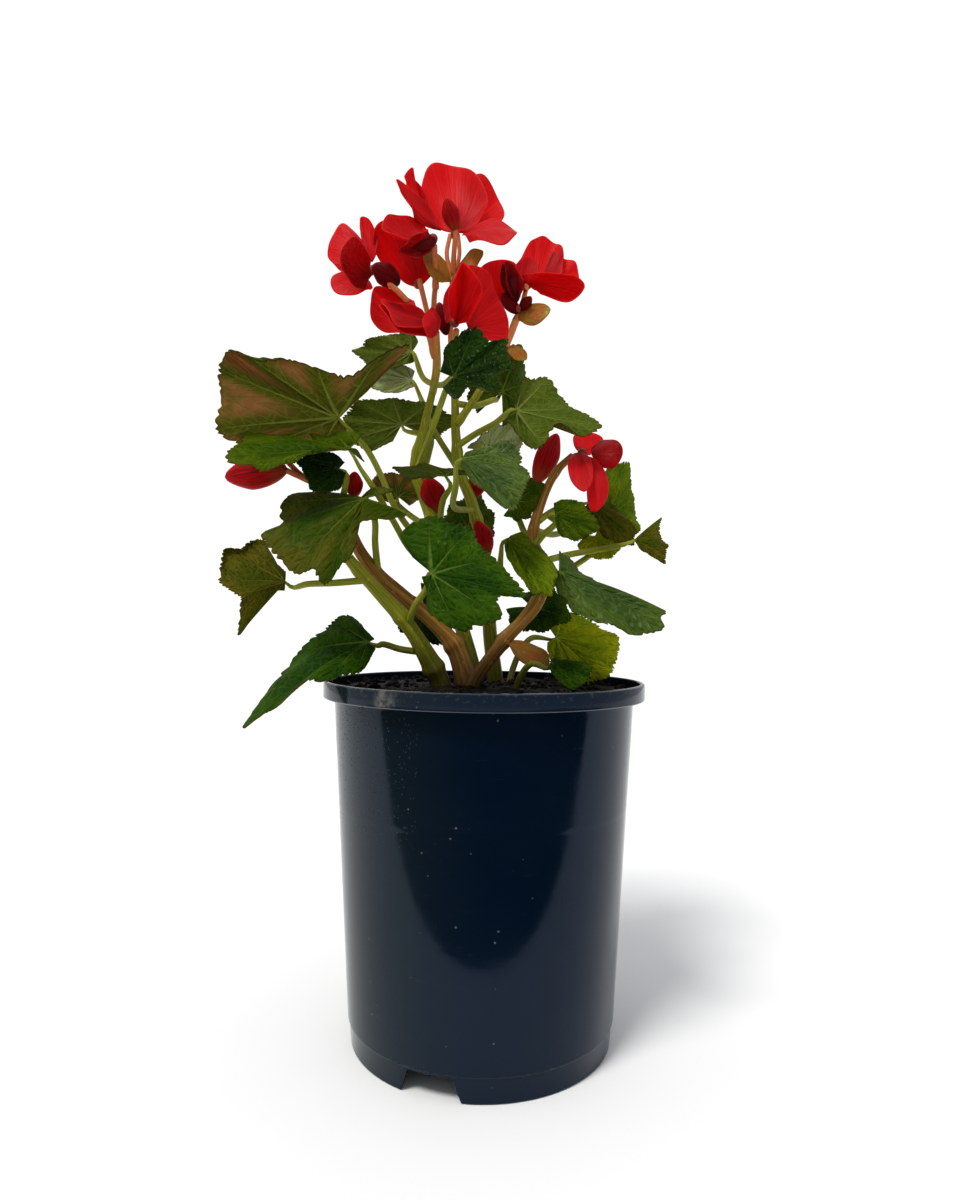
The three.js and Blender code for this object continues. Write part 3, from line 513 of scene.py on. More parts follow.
def grow_grid(name, points, materials, values=None, flat_map=None):
    """A grid primitive with its points moved to an array of [across, along] places in mm."""
    across, along = points.shape[0] - 1, points.shape[1] - 1
    deselect()
    bpy.ops.mesh.primitive_grid_add(x_subdivisions=across, y_subdivisions=along, size=1)
    piece = bpy.context.object
    piece.name = name
    mesh = piece.data
    mesh.name = name
    start = np.empty(len(mesh.vertices) * 3)
    mesh.vertices.foreach_get("co", start)
    start = start.reshape(-1, 3)
    column = np.rint((start[:, 0] + 0.5) * across).astype(int)
    row = np.rint((start[:, 1] + 0.5) * along).astype(int)
    mesh.vertices.foreach_set("co", to_metres(points[column, row]).ravel())
    for key, array in (values or {}).items():
        layer = mesh.attributes.new(key, "FLOAT", "POINT")
        layer.data.foreach_set("value", array[column, row].astype(np.float32))
    if flat_map is not None:
        corners = np.empty(len(mesh.loops), dtype=int)
        mesh.loops.foreach_get("vertex_index", corners)
        mesh.uv_layers[0].data.foreach_set("uv", flat_map[column, row][corners].ravel())
    for material in materials:
        mesh.materials.append(material)
    in_edit_mode(bpy.ops.mesh.remove_doubles, threshold=MERGE)
    bpy.ops.object.shade_smooth()
    return piece


def face_outwards(piece):
    """Turns the faces of a closed shape outwards."""
    make_active(piece)
    in_edit_mode(bpy.ops.mesh.normals_make_consistent, inside=False)
    return piece


def thicken(piece, thickness, under=0, rim=0):
    """Gives a sheet two faces and a rim, which may have other materials."""
    make_active(piece)
    wall = piece.modifiers.new("thickness", "SOLIDIFY")
    wall.thickness = thickness * MM
    wall.offset = 0
    wall.material_offset = under
    wall.material_offset_rim = rim
    bpy.ops.object.modifier_apply(modifier=wall.name)
    return piece


def unite(name, parts):
    """Joins objects into one, and leaves its origin at the frame's."""
    deselect()
    for part in parts:
        part.select_set(True)
    bpy.context.view_layer.objects.active = parts[0]
    if len(parts) > 1:
        bpy.ops.object.join()
    whole = bpy.context.object
    whole.name = name
    whole.data.name = name
    return whole


def settle(piece, node):
    """The piece stands for a node, whose part it hides, and rides on the plant's one body."""
    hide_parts(node)
    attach(piece, "root")
    return piece


# %% [markdown]
# ## Stalks
# A stem is a tube along a smooth curve through a few points, thick and thin by turns. A
# curve object with a bevel would do as well, but it has no map that runs along it once it
# is a mesh. So the tube is a grid rolled round the curve, and its two ends close in to a
# point. The curve is a centripetal Catmull-Rom spline, which passes through every point.

# %% Tubes along a curve
CURVE_STEPS = 24
SHORTEST_GAP = 1e-4
SHORTEST_TUBE = 6
JOINT_SWELLING, JOINT_LENGTH = 0.2, 3.2
RIBS, RIB_HEIGHT, RIB_TWIST = 5, 0.035, 3


def ease_through(part, first, leave, second, reach):
    """A cubic from first to second, with the directions in which it leaves and arrives."""
    square, cube = part ** 2, part ** 3
    return ((2 * cube - 3 * square + 1) * first + (cube - 2 * square + part) * leave
            + (3 * square - 2 * cube) * second + (cube - square) * reach)


def spline(through, count):
    """Points at equal steps along a centripetal Catmull-Rom curve."""
    knots = np.asarray(through, dtype=float)
    knots = np.vstack([2 * knots[0] - knots[1], knots, 2 * knots[-1] - knots[-2]])
    fine = []
    for index in range(1, len(knots) - 2):
        p0, p1, p2, p3 = knots[index - 1:index + 3]
        gaps = [max(np.linalg.norm(b - a) ** 0.5, SHORTEST_GAP)
                for a, b in ((p0, p1), (p1, p2), (p2, p3))]
        leave = ((p1 - p0) / gaps[0] - (p2 - p0) / (gaps[0] + gaps[1]) + (p2 - p1) / gaps[1]) * gaps[1]
        reach = ((p2 - p1) / gaps[1] - (p3 - p1) / (gaps[1] + gaps[2]) + (p3 - p2) / gaps[2]) * gaps[1]
        for share in np.linspace(0, 1, CURVE_STEPS, endpoint=False):
            fine.append(ease_through(share, p1, leave, p2, reach))
    fine.append(knots[-2])
    fine = np.array(fine)
    run = np.concatenate([[0], np.cumsum(np.linalg.norm(np.diff(fine, axis=0), axis=1))])
    wanted = np.linspace(0, run[-1], count)
    return np.stack([np.interp(wanted, run, fine[:, axis]) for axis in range(3)], axis=1), run[-1]


def tube(name, through, radii, material, sides=14, step=2.5, swell=()):
    """A tube along a curve. `swell` lists the shares of its length where it has a joint."""
    length = spline(through, 8)[1]
    count = max(SHORTEST_TUBE, round(length / step))
    path = spline(through, count)[0]
    tangent = np.gradient(path, axis=0)
    tangent /= np.linalg.norm(tangent, axis=1)[:, None]
    side = np.cross(tangent[0], (0.0, 0.3, 1.0))
    frames = []
    for along in tangent:
        side = side - along * side.dot(along)
        side /= np.linalg.norm(side)
        frames.append((side, np.cross(along, side)))
    share = np.linspace(0, 1, count)
    radius = np.interp(share, np.linspace(0, 1, len(radii)), radii)
    for joint in swell:
        from_joint = (share - joint) * length
        radius = radius * (1 + JOINT_SWELLING * np.exp(-(from_joint / JOINT_LENGTH) ** 2))
    angle = np.linspace(0, 2 * math.pi, sides + 1)
    rings = [np.repeat(path[:1], sides + 1, axis=0)]
    for spot, (first, second), thick, at in zip(path, frames, radius, share):
        out = np.cos(angle)[:, None] * first + np.sin(angle)[:, None] * second
        ribs = 1 + RIB_HEIGHT * np.cos(angle * RIBS + at * RIB_TWIST)
        rings.append(spot + out * (thick * ribs)[:, None])
    rings.append(np.repeat(path[-1:], sides + 1, axis=0))
    points = np.stack(rings, axis=1)
    points[-1] = points[0]
    return face_outwards(grow_grid(name, points, [material]))


# %% [markdown]
# ## Blades
# A leaf's main veins fan out from the point where its stalk joins it, and the blade folds
# along them. So a blade is a grid fanned about that point. The same few values that lay
# out the solid set the big folds here: where the midrib ends, where the upper side looks,
# and by how many degrees each main vein lifts. Finer things are added on top: teeth along
# the margin, swellings between the veins and a ruffled edge. Each leaf draws its own
# teeth and ruffles from a seed, so no two are alike and each run gives the same plant.

# %% Fan a blade
VEIN_STEP = 39.0
TEETH_BETWEEN_VEINS = 6
ROW_CROWDING = 1.4
FAN_BOW = 20
FLATTEST_BOW = 0.5
FLAT_SIZE = 0.48
TOOTH_ROWS = 7
FAN_WAVES, RIM_WAVES = 0.5, 0.6


def eased(values, share):
    """A value between the entries of a list, eased from each to the next."""
    at = share * (len(values) - 1)
    low = np.minimum(np.floor(at).astype(int), len(values) - 2)
    ease = (1 - np.cos((at - low) * math.pi)) / 2
    values = np.asarray(values, dtype=float)
    return values[low] + (values[low + 1] - values[low]) * ease


def square_to(along, direction):
    """The unit vector nearest to a direction that stands square to another unit vector."""
    up = np.array(direction, dtype=float)
    up -= along * up.dot(along)
    return up / np.linalg.norm(up)


def teeth(angle, dice):
    """How deep the margin is cut at each angle, from 0 to 1."""
    step = VEIN_STEP / TEETH_BETWEEN_VEINS
    start = dice.uniform(0, 6.3)
    uneven = 0.5 + 0.35 * np.sin(angle * 0.19 + start) + 0.2 * np.sin(angle * 0.43 - start)
    at = angle / step + uneven
    tooth = np.floor(at).astype(int)
    depth = np.array([0.25 + 0.75 * dice.random() for _ in range(200)])
    part = at - tooth
    depth = depth[tooth + 100] * (1 - part) + depth[tooth + 101] * part
    lean = np.where(angle < 0, 1 - part, part) ** 0.8
    return depth * np.abs(2 * lean - 1) ** 1.5


def leaf_outline(angle):
    """How long each ray is: a heart with a pointed tip and a shallow lobe at each vein."""
    turn = np.radians(np.abs(angle))
    heart = 0.6 + 0.28 * ((1 + np.cos(turn)) / 2) ** 2
    point = 0.12 * np.exp(-((angle / 15) ** 2))
    lobe = 0.04 * (np.cos(np.radians(angle * 360 / VEIN_STEP)) - 1)
    return heart + point + lobe


def petal_outline(angle):
    """A broad round end on a narrow foot."""
    return np.cos(np.radians(angle * 82 / 60)) ** 0.42


def bract_outline(angle):
    """A petal's outline, drawn in towards its sides."""
    return petal_outline(angle) * (1 - 0.25 * np.abs(angle / 60))


# A form is the half angle of the fan, the steps of its grid across and along, and its
# outline, then how strongly it is toothed, notched between the veins, swollen, ruffled and
# bowed
LEAF = {"half": 156, "across": 240, "rows": 18, "outline": leaf_outline,
        "tooth": 0.095, "notch": 0.02, "swell": 0.018, "ruffle": 0.024, "bow": 20}
SMALL_LEAF = {**LEAF, "rows": 12}
PETAL = {"half": 60, "across": 48, "rows": 16, "outline": petal_outline,
         "tooth": 0.0, "notch": 0.0, "swell": 0.0, "ruffle": 0.034, "bow": 45}
BRACT = {**PETAL, "across": 24, "rows": 10, "outline": bract_outline}


def patterns(form, angle, share):
    """The values that the leaf finishes read, and the map of the flat leaf."""
    nearest = np.radians(angle - np.round(angle / VEIN_STEP) * VEIN_STEP)
    size = form["outline"](angle)[:, None] * share[None, :]
    values = {"vein": np.abs(np.sin(nearest))[:, None] * size,
              "run": np.cos(nearest)[:, None] * size,
              "edge": np.repeat(share[None, :], len(angle), axis=0)}
    flat = np.radians(angle)[:, None]
    flat_map = 0.5 + np.stack([size * np.sin(flat), size * np.cos(flat)], axis=2) * FLAT_SIZE
    return values, flat_map


def rays_and_rows(form):
    """The angle of each ray of a grid, and the share of the way out of each row."""
    angle = np.linspace(form["half"], -form["half"], form["across"] + 1)
    share = 1 - (1 - np.linspace(0, 1, form["rows"] + 1)) ** ROW_CROWDING
    return angle, share


def waves(lift, form, angle, share, height, chord, dice):
    """Adds the ruffled edge, and the swellings between the veins, to a lift."""
    turns = [(dice.uniform(0.02, 0.045), dice.uniform(0, 6.3), dice.choice((-1, 1))) for _ in range(3)]
    ruffle = sum(np.sin(angle * speed * (3 + index) + start) * side
                 for index, (speed, start, side) in enumerate(turns))
    lift = lift + form["ruffle"] * chord * height * ruffle[:, None] * share[None, :] ** 3
    between_veins = np.sin(np.radians(angle * 180 / VEIN_STEP)) ** 2
    envelope = np.sin(share * math.pi * 0.85) ** 0.8
    return lift + form["swell"] * chord * between_veins[:, None] * envelope[None, :]


def fan(form, pose, seed):
    """The points of a blade, and the values that its materials read."""
    dice = random.Random(seed)
    at, tip = np.array(pose["at"], dtype=float), np.array(pose["tip"], dtype=float)
    along = tip - at
    chord = np.linalg.norm(along)
    along /= chord
    up = square_to(along, pose["face"])
    across = np.cross(up, along)
    arch = math.radians(pose.get("bow", FAN_BOW) or FLATTEST_BOW)
    reach = chord * (arch / 2) / math.sin(arch / 2)

    angle, share = rays_and_rows(form)
    rise = np.radians(eased(pose.get("lift", [0, 0]), (angle / form["half"] + 1) / 2))
    heading = rise[:, None] + arch / 2 - arch * share[None, :]
    length = reach * form["outline"](angle)
    middle = (heading[:, 1:] + heading[:, :-1]) / 2
    step = length[:, None] * np.diff(share)[None, :]
    none = np.zeros((len(angle), 1))
    out = np.concatenate([none, np.cumsum(np.cos(middle) * step, axis=1)], axis=1)
    high = np.concatenate([none, np.cumsum(np.sin(middle) * step, axis=1)], axis=1)
    if form["tooth"]:
        cut = 1 - form["tooth"] * teeth(angle, dice)[:, None] * share[None, :] ** TOOTH_ROWS
        out, high = out * cut, high * cut
    lift = waves(0, form, angle, share, FAN_WAVES, chord, dice)

    turn = np.radians(angle * pose.get("wide", 1))[:, None, None]
    radial = along * np.cos(turn) + across * np.sin(turn)
    normal = -np.sin(heading)[..., None] * radial + np.cos(heading)[..., None] * up
    points = at + radial * out[..., None] + up * high[..., None] + normal * lift[..., None]
    return points, *patterns(form, angle, share)


# %% [markdown]
# Old leaves bend every way, and no fold of a flat fan gives their outline. For those the
# table holds marks round the margin, in the order of the veins: nine on a small leaf, and
# seventeen on a large one, whose curls lie between the veins as well. A smooth curve runs
# through them, each ray of the grid goes from the joint to that curve in a low arch, and
# the same teeth, swellings and ruffles are added. A petal has seven marks.

# %% Fan a blade out to a given margin
CURL_START = 0.8
CURL_TURN = 2.6
NO_CURL = 1e-4
TOOTH_DEPTH = 3.4


def through_ends(ends, angle, half):
    """A smooth margin that passes through the given places."""
    knots = np.vstack([2 * ends[0] - ends[1], ends, 2 * ends[-1] - ends[-2]])
    at = (angle / half + 1) / 2 * (len(ends) - 1)
    low = np.clip(np.floor(at).astype(int), 0, len(ends) - 2)
    part = (at - low)[:, None]
    before, first, second, after = (knots[low + step] for step in range(4))
    return ease_through(part, first, (second - before) / 2, second, (after - first) / 2)


def fan_to_rim(form, joint, rim, seed, curl=(0, 0), bow=None):
    """The points of a blade whose margin passes through 7, 9 or 17 given places."""
    dice = random.Random(seed)
    ends = rim - joint
    angle, share = rays_and_rows(form)
    margin = through_ends(ends, angle, form["half"])
    notch = 1 + form["notch"] * (np.cos(np.radians(angle * 360 / VEIN_STEP)) - 1)
    margin = margin * notch[:, None]
    length = np.linalg.norm(margin, axis=1)
    up = np.cross(ends[:-1], ends[1:]).sum(axis=0)
    up /= np.linalg.norm(up)
    tooth = np.minimum(form["tooth"], TOOTH_DEPTH / length)
    cut = 1 - (tooth * teeth(angle, dice))[:, None] * share[None, :] ** TOOTH_ROWS
    curl = eased(curl, (angle / form["half"] + 1) / 2)[:, None] * CURL_TURN + NO_CURL
    part = np.maximum(0, share - CURL_START)[None, :] / (1 - CURL_START)
    inward = np.minimum(share, CURL_START)[None, :] + (1 - CURL_START) * np.sin(curl * part) / curl
    inward = inward / inward.max(axis=1, keepdims=True)
    along = (inward * cut)[..., None] * margin[:, None, :]

    chord = np.linalg.norm(ends[len(ends) // 2])
    arch = math.radians(form["bow"] if bow is None else bow) / 8
    lift = arch * 4 * share * (1 - share) * length[:, None]
    lift = lift - (1 - CURL_START) * (1 - np.cos(curl * part)) / curl * length[:, None]
    lift = waves(lift, form, angle, share, RIM_WAVES, chord, dice)
    points = joint + along + up * lift[..., None]
    return points, *patterns(form, angle, share)


# %% [markdown]
# ## The stems
# Five stems stand in the soil, and each carries its own flower stalks, which grow out of
# it. Where a leaf or a branch once joined, the stem is swollen, as on any begonia. The
# tubes of one stem are joined into one object, with the small bracts under the flowers.

# %% Stems
STEMS = {
    "stem_left": {
        "colour": "green",
        "main": {
            "through": [
                [-22, -3, 190], [-28, -5, 216], [-38, -12, 237], [-49, -16, 254],
                [-64, -21, 271], [-78, -24, 286], [-83, -25, 292],
            ],
            "radii": [6.5, 6.5, 6.3, 4.8, 4.7, 3.9, 3.4],
        },
    },
    "stem_brown": {
        "colour": "tan",
        "main": {
            "through": [
                [-8, -2, 190], [-11, -1, 214], [-19, 1, 238], [-34, 0, 255], [-52, -5, 270],
                [-67, -9, 283], [-78, -11, 297], [-86, -12, 314], [-94, -13, 330],
            ],
            "radii": [8, 7.5, 6.5, 5, 4.6, 4.6, 4, 3.4, 2.8],
        },
        "shoots": [
            {"through": [[-93, -13, 328], [-104, -16, 337], [-123, -20, 346]],
             "radii": [2.4, 1.6, 1.8], "colour": "stalk"},
            {"through": [[-90, -13, 322], [-86, -14, 325], [-82, -15, 330]], "radii": [2, 1.6, 1.8]},
            {"through": [[-106, -17, 338], [-117, -16, 346], [-124, -14, 353]],
             "radii": [1.8, 1.6, 1.8], "colour": "stalk"},
        ],
    },
    "stem_tan": {
        "colour": "tan",
        "main": {
            "through": [
                [-8, -19, 190], [-7, -20, 214], [12, -22, 243], [33, -20, 268], [35, -12, 290],
                [30, -6, 308], [35, -5, 330], [45, -2, 351], [55, -1, 361],
            ],
            "radii": [4, 4, 4.2, 4, 3.8, 3.6, 3.2, 2.6, 2.2],
        },
        "shoots": [
            {"through": [[14, -19, 246], [25, -12, 258], [32, -8, 269]], "radii": [3.4, 3.4, 3.2]},
            {"through": [[31, -6, 312], [33, 14, 325], [34, 34, 349]], "radii": [2.2, 2, 2]},
        ],
        "bracts": [
            {"at": [13, -24, 243], "tip": [39, -30, 229], "face": [0.3, -0.8, 0.5], "wide": 0.6},
        ],
    },
    "stem_centre": {
        "colour": "green",
        "main": {
            "through": [
                [-4, 17, 190], [-5, 16, 214], [-18, 15, 262], [-28, 12, 301], [-40, 9, 335],
                [-46, 6, 352], [-40, 5, 382], [-34, 5, 412], [-34, 4, 441], [-35, 4, 463],
                [-33, 4, 479],
            ],
            "radii": [5, 5, 4.6, 4.4, 4.2, 4.2, 3.4, 2.6, 2.0, 1.8, 1.7],
        },
        "shoots": [
            {"through": [[-34, 5, 425], [-40, -6, 442], [-56, -20, 458], [-67, -24, 465]],
             "radii": [2.2, 1.8, 1.8]},
            {"through": [[-34, 4, 433], [-39, -3, 452], [-44, -5, 472]], "radii": [2, 1.7, 1.7]},
            {"through": [[-35, 5, 402], [-31, -14, 412], [-31, -33, 428]], "radii": [2, 1.8, 1.8]},
            {"through": [[-34, 4, 470], [-34, -6, 480], [-34, -14, 490]], "radii": [2, 1.7, 1.7]},
            {"through": [[-30, 12, 305], [-31, 12, 315], [-30, 10, 325]], "radii": [2, 1.6, 1.6]},
        ],
        "bracts": [
            {"at": [-24, 1, 473], "tip": [-41, -7, 488], "face": [0.3, -1, 0.6], "wide": 1.0},
        ],
    },
    "stem_back": {
        "colour": "green",
        "main": {
            "through": [
                [9, 24, 190], [8, 23, 214], [4, 22, 245], [2, 22, 275], [-2, 20, 305],
                [-10, 16, 335], [-17, 12, 352], [-20, 10, 375], [-21, 7, 400], [-24, 2, 441],
                [-23, 2, 479],
            ],
            "radii": [5, 5, 4.6, 4.2, 4, 3.8, 3.4, 2.6, 2.0, 1.7, 1.8],
        },
        "shoots": [
            {"through": [[-20, 9, 382], [-4, 2, 404], [11, -4, 429], [18, -8, 446]],
             "radii": [2.6, 2.4, 2.2, 2.4]},
            {"through": [[17, -8, 444], [22, -4, 458], [25, 1, 472]], "radii": [1.8, 1.6, 1.6]},
            {"through": [[-23, 3, 428], [-21, -14, 422], [-19, -36, 428]], "radii": [1.9, 1.7, 1.8]},
            {"through": [[-23, 2, 476], [-27, 2, 491], [-25, 3, 505]], "radii": [1.6, 1.4, 1.4]},
            {"through": [[-23, 2, 476], [-19, 3, 491], [-20, 3, 505]], "radii": [1.5, 1.3, 1.4]},
            {"through": [[-23, 2, 478], [-22, -6, 490], [-21, -9, 502]], "radii": [1.8, 1.6, 1.6]},
            {"through": [[0, 21, 292], [1, 19, 296], [3, 16, 301]], "radii": [2, 1.6, 1.6]},
            {"through": [[-9, 17, 328], [-10, 19, 332], [-10, 20, 336]], "radii": [2, 1.6, 1.6]},
        ],
        "bracts": [
            {"at": [-24, 1, 473], "tip": [-4, -8, 490], "face": [-0.3, -1, 0.6], "wide": 0.7},
            {"at": [18, -8, 446], "tip": [39, -14, 450], "face": [0, -1, 0.3], "wide": 0.8},
            {"at": [12, -4, 430], "tip": [25, -6, 421], "face": [0.2, -1, 0.3], "wide": 0.7},
        ],
    },
}

STEM_SIDES = 20
SHOOT_SIDES = 12
STEM_STEP = 2.0
LOWEST_JOINT, HIGHEST_JOINT, SHOOT_JOINT = 0.3, 0.92, 0.06
BRACT_THICKNESS = 0.7


def build_stem(node, plan):
    """One stem with its branches and bracts."""
    main = plan["main"]
    joints = np.linspace(LOWEST_JOINT, HIGHEST_JOINT, len(main["through"]) // 2)
    skin = SKIN[plan["colour"]]
    parts = [tube(node, main["through"], main["radii"], skin, STEM_SIDES, STEM_STEP, joints)]
    for shoot in plan.get("shoots", []):
        skin = SKIN[shoot.get("colour", plan["colour"])]
        parts.append(tube("shoot", shoot["through"], shoot["radii"], skin,
                          SHOOT_SIDES, STEM_STEP, (SHOOT_JOINT,)))
    for number, pose in enumerate(plan.get("bracts", [])):
        points, values, _ = fan(BRACT, pose, number)
        parts.append(thicken(grow_grid("bract", points, [SKIN["bract"]], values), BRACT_THICKNESS))
    return settle(unite(node + "_grown", parts), node)


for node, plan in STEMS.items():
    build_stem(node, plan)
print("stems:", len(STEMS))
